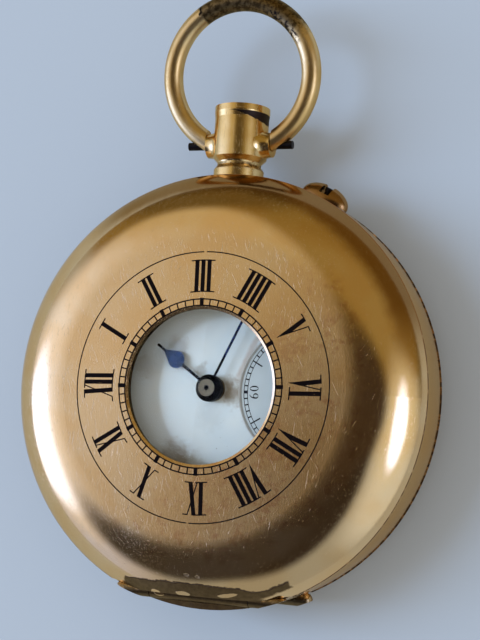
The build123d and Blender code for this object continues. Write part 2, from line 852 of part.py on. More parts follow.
def balance_cock():
    low = bridge_bottom_z
    radius = bridge_radius - bridge_gap / 2
    end = polar(bridge_radius, balance_edge_angle)
    body = disc(cock_width / 2, low, bridge_top_z, balance_at)
    body += bar(balance_at, end, cock_width, low, bridge_top_z)
    foot = bar(polar(bridge_radius - bridge_wall, balance_edge_angle), end, cock_width,
               bridge_top_z, plate_bottom_z)
    body += foot
    body &= disc(radius, low, plate_bottom_z)
    body -= disc(jewel_radius, low, bridge_top_z - jewel_height / 2, balance_at)
    body -= disc(pivot_radius + pivot_clearance, low - overrun, bridge_top_z + overrun, balance_at)
    body -= screw_holes()
    return body


def jewels():
    low = bridge_bottom_z
    high = bridge_top_z - jewel_height / 2
    places = (third_at, fourth_at, escape_at, balance_at)
    return Compound([ring(jewel_radius - seat_clearance, pivot_radius + pivot_clearance,
                          low, high - seat_clearance, place).solid() for place in places])


def bridge_screws():
    low = bridge_bottom_z - screw_head_height
    solids = []
    for place in screw_places():
        body = disc(screw_head_radius, low, bridge_bottom_z, place)
        body += disc(screw_shank_radius, bridge_bottom_z, plate_bottom_z, place)
        body -= Pos(place[0], place[1], low) * Box(screw_head_radius * 3, screw_slot, screw_head_height)
        solids.append(body.solid())
    return Compound(solids)


def dial():
    body = disc(dial_radius, dial_bottom_z, dial_top_z)
    body -= disc(dial_centre_hole, dial_bottom_z - overrun, dial_top_z + overrun)
    body -= disc(seconds_sunk_radius, dial_bottom_z - overrun, dial_top_z + overrun, fourth_at)
    return body


def seconds_dial():
    high = dial_top_z - seconds_sunk_depth
    radius = seconds_sunk_radius - seat_clearance
    return ring(radius, seconds_hole, dial_bottom_z, high, fourth_at)


# Tooth phases, so that every pair is in mesh at rest
barrel_phase = 0
centre_pinion_phase = mesh_phase(barrel_phase, barrel_teeth, barrel_direction + 180, centre_pinion_leaves)
centre_phase = 0
third_pinion_phase = mesh_phase(centre_phase, centre_teeth, -third_angle, third_leaves)
third_phase = 0
fourth_pinion_phase = mesh_phase(third_phase, third_teeth, direction_of(third_at, fourth_at), fourth_leaves)
fourth_phase = 0
escape_pinion_phase = mesh_phase(fourth_phase, fourth_teeth, escape_direction, escape_leaves)
crown_phase = 90.0
ratchet_phase = mesh_phase(crown_phase, crown_teeth, direction_of(crown_at, barrel_at), ratchet_teeth)
winding_pinion_phase = 360 / winding_pinion_leaves / 2
cannon_phase = 0
minute_phase = mesh_phase(cannon_phase, cannon_leaves, minute_wheel_direction, minute_wheel_teeth)
minute_pinion_phase = 0
hour_phase = mesh_phase(minute_pinion_phase, minute_pinion_leaves, minute_wheel_direction + 180, hour_teeth)


def barrel():
    low = barrel_bottom_z
    high = low + barrel_height
    flange_high = high - barrel_flange_drop
    body = disc(barrel_drum_radius, low, high, barrel_at)
    body += gear(barrel_teeth, barrel_module, wheel_addendum_share, wheel_tooth_share, barrel_phase,
                 barrel_at, flange_high - barrel_flange_height, flange_high)
    inner = barrel_drum_radius - barrel_wall
    body -= disc(inner, low + barrel_wall, high + overrun, barrel_at)
    body -= disc(barrel_arbor_radius / 2 + running_clearance, low - overrun, high, barrel_at)
    return body


def barrel_cover():
    high = barrel_bottom_z + barrel_height
    radius = barrel_drum_radius - barrel_wall - seat_clearance
    low = high - barrel_cover_thickness
    return ring(radius, barrel_arbor_radius / 2 + running_clearance, low, high, barrel_at)


def mainspring():
    low = barrel_bottom_z + barrel_wall + piece_gap
    high = barrel_bottom_z + barrel_height - barrel_cover_thickness - piece_gap
    return spiral(mainspring_start, mainspring_pitch, mainspring_half_turns, mainspring_strip,
                  low, high, barrel_at)


def barrel_arbor():
    low = bridge_bottom_z
    inner_low = barrel_bottom_z + barrel_wall + piece_gap / 2
    inner_high = barrel_bottom_z + barrel_height - barrel_cover_thickness - piece_gap / 2
    body = disc(barrel_arbor_radius / 2, low, plate_top_z - piece_gap, barrel_at)
    return body + disc(barrel_arbor_radius, inner_low, inner_high, barrel_at)


def ratchet_wheel():
    body = gear(ratchet_teeth, winding_module, winding_addendum_share, winding_tooth_share, ratchet_phase,
                barrel_at, wheel_back_z, wheel_back_z + winding_wheel_thickness)
    return body - disc(barrel_arbor_radius / 2, wheel_back_z - overrun, bridge_top_z, barrel_at)


def slotted_screw(at, radius, shank, low, high, shank_high):
    body = disc(radius, low, high, at) + disc(shank, high, shank_high, at)
    return body - Pos(at[0], at[1], low) * Box(radius * 3, screw_slot, screw_head_height)


def ratchet_screw():
    shank = barrel_arbor_radius / 2 - seat_clearance
    return slotted_screw(barrel_at, barrel_arbor_radius, shank, wheel_back_z - screw_head_height,
                         wheel_back_z, bridge_bottom_z)


def contrate_tooth_top():
    return stem_z - pinion_pitch_radius + winding_pinion_depth


def crown_wheel():
    high = wheel_back_z + winding_wheel_thickness
    body = gear(crown_teeth, winding_module, winding_addendum_share, winding_tooth_share, crown_phase,
                crown_at, wheel_back_z, high)
    tooth_top = contrate_tooth_top()
    outer = contrate_radius + contrate_width / 2
    inner = contrate_radius - contrate_width / 2
    body += ring(outer, inner, high, stem_z - pinion_pitch_radius - winding_pinion_depth * 2, crown_at)
    pitch = 2 * contrate_radius * sin(radians(180 / crown_teeth))
    for tooth in range(crown_teeth):
        angle = crown_phase + 360 * tooth / crown_teeth
        start = polar(inner, angle, crown_at)
        body += bar(start, polar(outer, angle, crown_at), pitch * contrate_tooth_share * 2, high, tooth_top)
    return body - disc(contrate_radius / 3, wheel_back_z - overrun, high + overrun, crown_at)


def crown_wheel_screw():
    shank = contrate_radius / 3 - running_clearance
    high = wheel_back_z - piece_gap / 2
    return slotted_screw(crown_at, contrate_radius / 2, shank, high - screw_head_height, high,
                         bridge_bottom_z)


def winding_pinion():
    module = 2 * pinion_pitch_radius / winding_pinion_leaves
    face = gear_face(winding_pinion_leaves, module, pinion_addendum_share, contrate_tooth_share,
                     winding_pinion_phase + 90)
    body = extrude(face, winding_pinion_width)
    body = Pos(0, winding_pinion_y + winding_pinion_width / 2, stem_z) * Rot(90, 0, 0) * body
    return body - rod_y(stem_radius, 0, case_radius, 0, stem_z)


def winding_stem():
    low = crown_at[1] + stem_inner_end_gap
    body = rod_y(stem_radius, low, stem_top_y, 0, stem_z)
    return body + rod_y(stem_tap_radius, stem_top_y, stem_tap_top_y, 0, stem_z)


def sliding_pinion():
    high = winding_pinion_y - winding_pinion_width / 2 - sliding_pinion_gap
    low = high - sliding_pinion_length
    body = rod_y(sliding_pinion_radius, low, high, 0, stem_z)
    middle = (low + high) / 2
    half = sliding_groove_width / 2
    groove = rod_y(sliding_pinion_radius + overrun, middle - half, middle + half, 0, stem_z)
    groove -= rod_y(sliding_groove_radius, middle - half, middle + half, 0, stem_z)
    body -= groove
    return body - rod_y(stem_radius + running_clearance, 0, case_radius, 0, stem_z)


def sliding_pinion_middle():
    return winding_pinion_y - winding_pinion_width / 2 - sliding_pinion_gap - sliding_pinion_length / 2


def setting_lever():
    pivot = (lever_pivot_x, lever_pivot_y)
    bend = polar(lever_bend_radius, guard_angle)
    end = (sliding_groove_radius + lever_tip_gap, sliding_pinion_middle())
    low = mid_z - lever_thickness / 2
    high = mid_z + lever_thickness / 2
    width = lever_half_width * 2
    body = disc(lever_pivot_radius, low, high, pivot) + bar(pivot, bend, width, low, high)
    body += disc(lever_half_width, low, high, bend)
    near = (sliding_pinion_radius + lever_half_width, end[1])
    body += bar(bend, near, width, low, high)
    body += bar(near, end, sliding_groove_width / 2, low, high)
    return body - disc(lever_stud_radius + running_clearance, low - overrun, high + overrun, pivot)


def lever_stud():
    return disc(lever_stud_radius, mid_z - lever_thickness, plate_bottom_z, (lever_pivot_x, lever_pivot_y))


def click():
    high = bridge_bottom_z - piece_gap / 2
    low = high - click_thickness
    tip_radius = (ratchet_teeth / 2 + winding_addendum_share) * winding_module + click_clearance
    towards = polar(tip_radius, click_direction + click_tip_turn, barrel_at)
    body = disc(click_radius, low, high, click_at) + bar(click_at, towards, click_radius, low, high)
    body -= disc(tip_radius, low - overrun, high + overrun, barrel_at)
    return body - disc(screw_shank_radius + running_clearance, low - overrun, high + overrun, click_at)


def click_screw():
    high = bridge_bottom_z - piece_gap / 2 - click_thickness - piece_gap / 2
    body = disc(click_radius, high - screw_head_height, high, click_at)
    body += disc(screw_shank_radius, high, bridge_bottom_z, click_at)
    return body - Pos(click_at[0], click_at[1], high - screw_head_height) * Box(
        click_radius * 3, screw_slot, screw_head_height)


def click_spring():
    high = bridge_bottom_z - seat_clearance
    low = high - click_thickness
    foot = polar(click_radius + click_spring_width * 2, click_direction + 90, click_at)
    end = polar(click_spring_length, click_direction + click_spring_turn, foot)
    body = bar(foot, end, click_spring_width, low, high)
    return body + disc(click_radius / 2, low, high, end)


def centre_wheel():
    body = wheel(centre_teeth, centre_module, centre_phase, centre_at, centre_wheel_z, train_arms)
    top = barrel_bottom_z + barrel_height
    body += disc(centre_arbor_radius, bridge_bottom_z, minute_hand_z - piece_gap, centre_at)
    low = top - barrel_flange_drop - barrel_flange_height - pinion_overhang
    body += pinion(centre_pinion_leaves, barrel_module, centre_pinion_phase, centre_at,
                   low, top - pinion_overhang)
    return body


def train_piece(teeth, module, phase, at, wheel_z, leaves, leaf_module, leaf_phase, leaf_z, top_z):
    body = wheel(teeth, module, phase, at, wheel_z, train_arms)
    body += pinion(leaves, leaf_module, leaf_phase, at, leaf_z - pinion_overhang,
                   leaf_z + train_wheel_thickness + pinion_overhang)
    body += disc(arbor_radius, bridge_top_z + piece_gap, top_z, at)
    body += disc(pivot_radius, bridge_bottom_z, bridge_top_z + piece_gap, at)
    return body


def third_wheel():
    body = train_piece(third_teeth, third_module, third_phase, third_at, third_wheel_z,
                       third_leaves, centre_module, third_pinion_phase, centre_wheel_z,
                       plate_bottom_z - piece_gap)
    return body + disc(pivot_radius, plate_bottom_z - piece_gap, plate_top_z, third_at)


def fourth_wheel():
    body = train_piece(fourth_teeth, fourth_module, fourth_phase, fourth_at, fourth_wheel_z,
                       fourth_leaves, third_module, fourth_pinion_phase, third_wheel_z,
                       seconds_hand_z)
    return body


def escape_wheel():
    high = escape_wheel_z + train_wheel_thickness
    inner = escape_radius - escape_tooth_depth
    body = ring(inner, inner - escape_tooth_width, escape_wheel_z, high, escape_at)
    for tooth in range(escape_tooth_count):
        angle = 360 * tooth / escape_tooth_count
        root = polar(inner - escape_tooth_width / 2, angle, escape_at)
        lead = 360 / escape_tooth_count / 4
        body += bar(root, polar(escape_radius, angle + lead, escape_at), escape_tooth_width / 2,
                    escape_wheel_z, high)
    for arm in range(escape_arms):
        body += bar(escape_at, polar(inner - escape_tooth_width / 2, 360 * arm / escape_arms, escape_at),
                    escape_tooth_width, escape_wheel_z, high)
    body &= disc(escape_radius, escape_wheel_z, high, escape_at)
    body += pinion(escape_leaves, fourth_module, escape_pinion_phase, escape_at,
                   fourth_wheel_z - pinion_overhang,
                   fourth_wheel_z + train_wheel_thickness + pinion_overhang)
    body += disc(arbor_radius, bridge_top_z + piece_gap, plate_bottom_z - piece_gap, escape_at)
    body += disc(pivot_radius, bridge_bottom_z, bridge_top_z + piece_gap, escape_at)
    return body + disc(pivot_radius, plate_bottom_z - piece_gap, plate_top_z, escape_at)


def pallet_fork():
    low = escape_wheel_z
    high = low + train_wheel_thickness
    toward = direction_of(pallet_at, escape_at)
    body = disc(fork_width, low, high, pallet_at)
    body += disc(pivot_radius, high, plate_top_z, pallet_at)
    for side in (-1, 1):
        stone = polar(escape_radius + pallet_clearance + pallet_stone_width, toward + 180
                      + side * pallet_stone_angle, escape_at)
        body += bar(pallet_at, stone, fork_width, low, high)
        inner = polar(pallet_stone_length / 2, direction_of(escape_at, stone), stone)
        body += bar(stone, inner, pallet_stone_width, low, high)
    fork_reach = balance_distance - roller_radius * impulse_pin_share - fork_end_gap
    end = polar(fork_reach, balance_direction, pallet_at)
    body += bar(pallet_at, end, fork_width, low, high)
    for side in (-1, 1):
        horn = polar(fork_notch / 2, balance_direction + side * 90, end)
        body += bar(horn, polar(fork_horn, balance_direction, horn), fork_width / 2, low, high)
    cross_a = polar(fork_notch / 2 + fork_width / 4, balance_direction + 90, end)
    cross_b = polar(fork_notch / 2 + fork_width / 4, balance_direction - 90, end)
    body += bar(cross_a, cross_b, fork_width / 2, low, high)
    body -= disc(escape_radius + pallet_clearance, low - overrun, high + overrun, escape_at)
    return body


def balance_wheel():
    low = balance_rim_z
    high = low + balance_rim_height
    body = ring(balance_rim_radius, balance_rim_radius - balance_rim_width, low, high, balance_at)
    reach = balance_rim_radius - balance_rim_width / 2
    across = (polar(reach, 0, balance_at), polar(reach, 180, balance_at))
    body += bar(across[0], across[1], balance_arm_width, low, low + balance_rim_height / 2)
    body += disc(arbor_radius, bridge_top_z + piece_gap, plate_bottom_z - piece_gap, balance_at)
    body += disc(pivot_radius, bridge_bottom_z, bridge_top_z + piece_gap, balance_at)
    body += disc(pivot_radius, plate_bottom_z - piece_gap, plate_top_z, balance_at)
    body += disc(collet_radius, hairspring_z, hairspring_z + hairspring_height, balance_at)
    roller_high = plate_bottom_z - piece_gap
    body += disc(roller_radius, roller_high - roller_height, roller_high, balance_at)
    pin_at = polar(roller_radius * impulse_pin_share, balance_direction + 180, balance_at)
    return body + disc(impulse_pin_radius, escape_wheel_z, roller_high - roller_height, pin_at)


def balance_screws():
    middle_z = balance_rim_z + balance_rim_height / 2
    solids = []
    for count in range(balance_screw_count):
        angle = 360 * (count + 0.5) / balance_screw_count
        middle = polar(balance_rim_radius + balance_screw_length / 2, angle, balance_at)
        screw = Pos(middle[0], middle[1], middle_z) * Rot(0, 0, angle) * Rot(0, 90, 0) * Cylinder(
            balance_screw_radius, balance_screw_length)
        solids.append((screw - disc(balance_rim_radius, 0, lid_top_z, balance_at)).solid())
    return Compound(solids)


def hairspring():
    return spiral(hairspring_start, hairspring_pitch, hairspring_half_turns, hairspring_strip,
                  hairspring_z, hairspring_z + hairspring_height, balance_at)


def regulator():
    high = bridge_bottom_z - piece_gap / 2
    low = high - regulator_thickness
    body = ring(regulator_radius, jewel_radius, low, high, balance_at)
    inward = balance_edge_angle + 180
    start = polar(jewel_radius + regulator_width / 2, inward, balance_at)
    return body + bar(start, polar(regulator_length, inward, balance_at), regulator_width, low, high)


def cannon_pinion():
    inner = centre_arbor_radius + running_clearance
    low = plate_top_z + piece_gap / 2
    body = disc(cannon_radius, low, hub_top_z - piece_gap)
    body += pinion(cannon_leaves, cannon_module, cannon_phase, centre_at,
                   low, minute_wheel_z + motion_wheel_thickness)
    body -= disc(inner, low - overrun, minute_hand_z)
    return body


def hour_wheel():
    high = hour_wheel_z + motion_wheel_thickness
    body = gear(hour_teeth, hour_module, wheel_addendum_share, wheel_tooth_share, hour_phase,
                centre_at, hour_wheel_z, high)
    body += disc(hour_tube_radius, hour_wheel_z, hour_hand_z - piece_gap)
    return body - disc(cannon_radius + running_clearance, hour_wheel_z - overrun, hour_hand_z + overrun)


def minute_wheel():
    high = minute_wheel_z + motion_wheel_thickness
    body = gear(minute_wheel_teeth, cannon_module, wheel_addendum_share, wheel_tooth_share, minute_phase,
                minute_at, minute_wheel_z, high)
    body += pinion(minute_pinion_leaves, hour_module, minute_pinion_phase, minute_at, high,
                   hour_wheel_z + motion_wheel_thickness)
    bore = lever_stud_radius + running_clearance
    return body - disc(bore, plate_top_z - overrun, dial_bottom_z, minute_at)


def minute_wheel_stud():
    return disc(lever_stud_radius, plate_top_z, dial_bottom_z - piece_gap, minute_at)


def hour_hand():
    low = hour_hand_z
    high = low + hour_hand_thickness
    bulb = polar(hour_bulb_place, hour_hand_angle)
    tip = polar(hour_hand_length, hour_hand_angle)
    tip_start = polar(hour_bulb_place + hour_bulb_radius / 2, hour_hand_angle)
    body = disc(hand_boss_radius, low - piece_gap, high)
    body += bar((0, 0), bulb, hour_stem_width, low, high)
    body += disc(hour_bulb_radius, low, high, bulb)
    neck = polar(hour_bulb_place + hour_bulb_radius * hour_neck_share, hour_hand_angle)
    side_a = polar(hour_bulb_radius * hour_shoulder_share, hour_hand_angle + 90, tip_start)
    side_b = polar(hour_bulb_radius * hour_shoulder_share, hour_hand_angle - 90, tip_start)
    end_a = polar(hour_tip_width / 2, hour_hand_angle + 90, tip)
    end_b = polar(hour_tip_width / 2, hour_hand_angle - 90, tip)
    neck_a = polar(hour_tip_width / 2, hour_hand_angle + 90, neck)
    neck_b = polar(hour_tip_width / 2, hour_hand_angle - 90, neck)
    face = make_face(Polyline(side_a, neck_a, end_a, end_b, neck_b, side_b, close=True))
    body += Pos(0, 0, low) * extrude(face, high - low)
    return body - disc(cannon_radius + running_clearance, low - overrun, high + overrun)


def minute_hand():
    low = minute_hand_z
    high = low + minute_hand_thickness
    body = disc(hand_boss_radius, low, high)
    body += bar((0, 0), polar(minute_hand_length, minute_hand_angle), minute_stem_width, low, high)
    body += disc(minute_bulb_radius, low, high, polar(minute_bulb_place, minute_hand_angle))
    cone = Cone(hand_boss_radius, hub_disc_radius, hub_top_z - high - piece_gap,
                align=(Align.CENTER, Align.CENTER, Align.MIN))
    body += Pos(0, 0, high) * cone
    return body - disc(cannon_radius, low - overrun, hub_top_z)


def hub_disc():
    low = hub_top_z - piece_gap
    body = disc(hub_disc_radius, low, hub_top_z)
    return body - disc(hub_hole_radius, hub_top_z - hub_hole_depth, hub_top_z + overrun)


def seconds_hand():
    low = seconds_hand_z
    high = low + seconds_hand_thickness
    body = disc(seconds_boss_radius, low, high, fourth_at)
    start = (fourth_at[0] - seconds_hand_tail, 0)
    end = (fourth_at[0] + seconds_hand_length, 0)
    return body + bar(start, end, seconds_hand_width, low, high)


nodes = {
    "case_band": case_band, "front_cover": front_cover, "cover_window_glass": cover_window_glass,
    "window_retaining_ring": window_retaining_ring, "back_cover": back_cover,
    "front_hinge_pin": lambda: hinge_pin(front_joint_z),
    "back_hinge_pin": lambda: hinge_pin(back_joint_z),
    "cuvette": cuvette, "cuvette_hinge_pin": cuvette_hinge_pin, "inner_bezel": inner_bezel,
    "crystal": crystal, "pendant_tube": pendant_tube, "bow": bow, "bow_pins": bow_pins,
    "setting_guard": setting_guard, "setting_pin": setting_pin, "lift_spring": lift_spring,
    "lock_spring": lock_spring, "main_plate": main_plate, "barrel_bridge": barrel_bridge,
    "train_bridge": train_bridge, "balance_cock": balance_cock, "jewels": jewels,
    "bridge_screws": bridge_screws, "dial": dial, "seconds_dial": seconds_dial, "barrel": barrel,
    "barrel_cover": barrel_cover, "mainspring": mainspring, "barrel_arbor": barrel_arbor,
    "ratchet_wheel": ratchet_wheel, "ratchet_screw": ratchet_screw, "crown_wheel": crown_wheel,
    "crown_wheel_screw": crown_wheel_screw, "winding_pinion": winding_pinion,
    "winding_stem": winding_stem, "sliding_pinion": sliding_pinion, "setting_lever": setting_lever,
    "lever_stud": lever_stud, "click": click, "click_screw": click_screw, "click_spring": click_spring,
    "centre_wheel": centre_wheel, "third_wheel": third_wheel, "fourth_wheel": fourth_wheel,
    "escape_wheel": escape_wheel, "pallet_fork": pallet_fork, "balance_wheel": balance_wheel,
    "balance_screws": balance_screws, "hairspring": hairspring, "regulator": regulator,
    "cannon_pinion": cannon_pinion, "hour_wheel": hour_wheel, "minute_wheel": minute_wheel,
    "minute_wheel_stud": minute_wheel_stud, "hour_hand": hour_hand, "minute_hand": minute_hand,
    "hub_disc": hub_disc, "seconds_hand": seconds_hand,
}

os.makedirs("parts", exist_ok=True)
for name, make in nodes.items():
    export_step(make(), "parts/" + name + ".step")
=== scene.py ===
import bpy
import bmesh
from math import asin, cos, hypot, pi, radians, sin
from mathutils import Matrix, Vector


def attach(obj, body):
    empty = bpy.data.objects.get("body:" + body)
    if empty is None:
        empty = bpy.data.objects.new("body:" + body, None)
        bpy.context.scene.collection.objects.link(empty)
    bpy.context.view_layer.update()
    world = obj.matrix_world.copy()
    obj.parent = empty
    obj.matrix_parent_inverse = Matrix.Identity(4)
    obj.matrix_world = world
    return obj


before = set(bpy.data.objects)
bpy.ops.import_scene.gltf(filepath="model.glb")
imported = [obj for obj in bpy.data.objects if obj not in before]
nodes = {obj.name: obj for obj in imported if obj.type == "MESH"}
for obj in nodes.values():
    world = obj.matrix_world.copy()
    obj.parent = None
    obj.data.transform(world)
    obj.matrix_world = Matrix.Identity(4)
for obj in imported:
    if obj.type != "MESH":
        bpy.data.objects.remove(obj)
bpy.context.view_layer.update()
mm = 0.001
print("frame loaded,", len(nodes), "nodes")


# Shader maths as Python expressions

class Wire:                          # one output socket that takes Python's operators
    def __init__(self, bench, socket):
        self.bench = bench
        self.socket = socket

    def math(self, kind, other=0.0, flip=False):
        pair = (other, self) if flip else (self, other)
        return self.bench.node("ShaderNodeMath", {"operation": kind}, {0: pair[0], 1: pair[1]})

    __add__ = __radd__ = lambda self, other: self.math("ADD", other)
    __mul__ = __rmul__ = lambda self, other: self.math("MULTIPLY", other)
    __sub__ = lambda self, other: self.math("SUBTRACT", other)
    __rsub__ = lambda self, other: self.math("SUBTRACT", other, flip=True)
    __truediv__ = lambda self, other: self.math("DIVIDE", other)
    __pow__ = lambda self, other: self.math("POWER", other)
    __abs__ = lambda self: self.math("ABSOLUTE")


class Bench:                         # one material's or world's node tree
    def __init__(self, tree):
        self.tree = tree
        tree.nodes.clear()

    def node(self, kind, settings=None, sockets=None, out=0):
        made = self.tree.nodes.new(kind)
        for key, value in (settings or {}).items():
            setattr(made, key, value)
        for key, value in (sockets or {}).items():
            if isinstance(value, Wire):
                self.tree.links.new(value.socket, made.inputs[key])
            else:
                made.inputs[key].default_value = value
        return Wire(self, made.outputs[out]) if made.outputs else None

    def mix(self, mask, base, top):               # the node's colours are inputs 6 and 7 and output 2
        return self.node("ShaderNodeMix", {"data_type": "RGBA"}, {0: mask, 6: base, 7: top}, out=2)

    def layers(self, base, *coats):               # each coat is a mask and a colour, from the bottom up
        for mask, colour in coats:
            base = self.mix(mask, base, colour)
        return base

    def step(self, value, low, high):             # 0 at low, 1 at high, smooth between
        return self.node("ShaderNodeMapRange", {"interpolation_type": "SMOOTHSTEP"},
                         {0: value, 1: low, 2: high, 3: 0.0, 4: 1.0})

    def edge(self, value, at, soft):              # rises round a value, or falls where soft is negative
        return self.step(value, at - soft, at + soft)

    def top(self, *masks):                        # the strongest of several masks
        found = masks[0]
        for mask in masks[1:]:
            found = found.math("MAXIMUM", mask)
        return found

    def ray(self, *kinds):                        # 1 for rays of the given kinds
        return self.top(*[self.node("ShaderNodeLightPath", out="Is " + kind + " Ray") for kind in kinds])

    def noise(self, place, scale, detail, rough):
        return self.node("ShaderNodeTexNoise", {}, {"Vector": place, "Scale": scale, "Detail": detail,
                                                    "Roughness": rough})

    def turned(self, place, angle, stretch):      # turned in degrees round Z, so that a noise lies in lines
        return self.node("ShaderNodeMapping", {"vector_type": "TEXTURE"},
                         {"Vector": place, "Rotation": (0.0, 0.0, radians(angle)), "Scale": stretch})

    def place(self):                              # the piece's own place in millimetres
        raw = self.node("ShaderNodeTexCoord", out="Object")
        return self.node("ShaderNodeVectorMath", {"operation": "SCALE"}, {0: raw, "Scale": 1 / mm})

    def parts(self, place):
        cut = self.node("ShaderNodeSeparateXYZ", {}, {0: place})
        return [Wire(self, cut.socket.node.outputs[i]) for i in range(3)]

    def far(self, x, y):                          # distance from the Z axis
        return (x * x + y * y) ** 0.5

    def bearing(self, x, y):                      # degrees round the Z axis
        return self.node("ShaderNodeMath", {"operation": "ARCTAN2"}, {0: y, 1: x}) * (180 / pi)

    def bump(self, height, depth, under=None):    # depth in millimetres
        sockets = {"Strength": 1.0, "Distance": depth * mm, "Height": height}
        if under:
            sockets["Normal"] = under
        return self.node("ShaderNodeBump", {}, sockets)


def rgb(red, green, blue):                        # a colour as seen on screen, 0 to 255, made linear
    def lin(c):
        c = c / 255
        return c / 12.92 if c <= 0.04045 else ((c + 0.055) / 1.055) ** 2.4
    return (lin(red), lin(green), lin(blue), 1.0)


def dim(colour, share):
    return tuple(c * share for c in colour[:3]) + (1.0,)


def newFinish(name):
    finish = bpy.data.materials.new(name)
    finish.use_nodes = True
    return finish, Bench(finish.node_tree)


def shade(bench, sockets):
    surface = bench.node("ShaderNodeBsdfPrincipled", {}, sockets)
    bench.node("ShaderNodeOutputMaterial", {}, {"Surface": surface})


# Gold finishes. Lengths in the finishes are millimetres, angles degrees. A pair is where a mask is 0 and
# where it is 1, a way is a direction's x and y, and a noise is its scale, detail and roughness.

joints = (4.25, 10.95)               # heights of the two joint lines of the case
goldLook = {
    "warm": rgb(238, 193, 132),
    "pale": rgb(240, 200, 144),
    "slant": (0.92, 0.80, 0.60, 1.0),             # tint of what it mirrors where it is seen at a slant
    "clouds": (0.16, 2.0, 0.5),                   # noise that parts warm from pale
    "cloudEdge": (0.4, 0.6),
    "dirt": (1.7, 4.0, 0.65),                     # noise that breaks up every stain
    "rubs": ((112, 1.9, 0.13), (97, 2.4, 0.12), (76, 1.5, 0.12)),      # fine lines: angle, length and width
    "cuts": ((118, 4.2, 0.09), (84, 5.0, 0.09), (61, 3.6, 0.08)),
    "hairs": ((115, 2.8, 0.08), (106, 2.2, 0.075), (84, 2.4, 0.075)),
    "lineNoise": (1.0, 2.0, 0.6),
    "cutEdge": (0.715, 0.775),                    # higher values leave fewer lines
    "hairEdge": (0.675, 0.735),
    "hairShare": 0.7,
    "rubDepth": 0.0052,
    "cutDepth": 0.008,
    "rubRough": 0.16,
    "cutRough": 0.08,
}


def streaks(bench, place, spec):                  # one field of lines that lie one way
    angle, length, width = spec
    return bench.noise(bench.turned(place, angle, (length, width, width)), *goldLook["lineNoise"])


def lines(bench, place, specs, limits):           # only the strongest of such lines
    return bench.top(*[bench.step(streaks(bench, place, spec), *limits) for spec in specs])


def wearOn(bench, place):
    look = goldLook
    rubs = sum(streaks(bench, place, spec) for spec in look["rubs"]) * (1 / len(look["rubs"]))
    cuts = lines(bench, place, look["cuts"], look["cutEdge"])
    hairs = lines(bench, place, look["hairs"], look["hairEdge"]) * look["hairShare"]
    return rubs, cuts, hairs


def goldGround(bench, place, look):
    clouds = bench.step(bench.noise(place, *look["clouds"]), *look["cloudEdge"])
    return bench.mix(clouds, look["warm"], look["pale"])


seamLook = {                         # grime along the joint lines
    "grime": rgb(58, 34, 22),
    "away": (0.16, 0.048),           # from the line
    "radius": (23.9, 24.3),          # outside the ledge that shows when the lid is open
    "broken": (0.30, 0.55),
    "lidBroken": (0.25, 0.5),
    "rough": 0.4,
    "dull": 0.7,                     # how much less metallic it is
}


def seamGrime(bench, radius, z, heights, broken):
    near = bench.top(*[bench.step(abs(z - height), *seamLook["away"]) for height in heights])
    return near * broken * bench.step(radius, *seamLook["radius"])


def gold(name, rough, look=None, seams=(), marks=None):
    look = {**goldLook, **(look or {})}
    finish, bench = newFinish(name)
    place = bench.place()
    x, y, z = bench.parts(place)
    dirt = bench.noise(place, *look["dirt"])
    rubs, cuts, hairs = wearOn(bench, place)
    scratches = bench.top(cuts, hairs)
    colour = goldGround(bench, place, look)
    roughness = (rubs - 0.5) * look["rubRough"] + scratches * look["cutRough"] + rough
    metallic = 1.0
    if marks:
        stain, stainColour, stainRough = marks(bench, x, y, z, dirt)
        colour = bench.mix(stain, colour, stainColour)
        roughness = roughness + stain * stainRough
    if seams:
        grime = seamGrime(bench, bench.far(x, y), z, seams, bench.step(dirt, *seamLook["broken"]))
        colour = bench.mix(grime, colour, seamLook["grime"])
        roughness = roughness + grime * seamLook["rough"]
        metallic = 1.0 - grime * seamLook["dull"]
    relief = bench.bump(rubs, look["rubDepth"], bench.bump(scratches, -look["cutDepth"]))
    shade(bench, {"Base Color": colour, "Metallic": metallic, "Roughness": roughness, "Normal": relief,
                  "Specular Tint": look["slant"]})
    return finish


wornPatch = {                        # bare metal on the lid above the hinge, where the plating has gone
    "base": rgb(122, 96, 62),
    "deep": 0.72,                    # share of its colour that is left in dark places
    "mottle": (0.35, 0.65),
    "start": -111.6,                 # bearings of its ends
    "end": -61.8,
    "endSoft": 0.4,
    "middle": -91.0,
    "top": 21.95,                    # radius of its upper edge in the middle
    "topSoft": 0.05,
    "drop": 0.0036,                  # how fast that edge drops towards the ends
    "mostDrop": 1.5,
    "low": 24.12,                    # radius of its lower edge, which only the right end has
    "lowSoft": 0.1,
    "rightEnd": (-73.0, -69.0),
    "drift": 4.0,                    # degrees that the ends wander for each millimetre of raggedness
    "rightDrift": 8.0,
    "lowRagged": 0.6,
    # plating left inside it and pits above it: bearing, radius, half width and half height
    "islands": ((-93.0, 23.14, 0.85, 0.26), (-79.8, 23.2, 1.15, 0.22), (-101.4, 23.85, 0.65, 0.4)),
    "islandEdge": (0.8, 1.25),
    "islandRagged": 0.3,
    "pits": ((-91.0, 20.9, 0.32, 0.16), (-87.5, 21.02, 0.26, 0.14)),
    "pitEdge": (1.3, 0.7),
    "pitRagged": 0.2,
    "pitShare": 0.5,
    "rim": rgb(70, 48, 40),          # dark line along its upper edge
    "rimAway": (0.16, 0.02),
    "rimShare": 0.85,
}


def oval(angle, radius, spot):                    # below 1 inside a spot on the lid
    bearing, ring, halfWide, halfHigh = spot
    u = (angle - bearing) * (radians(1) * ring / halfWide)
    v = (radius - ring) * (1 / halfHigh)
    return u * u + v * v


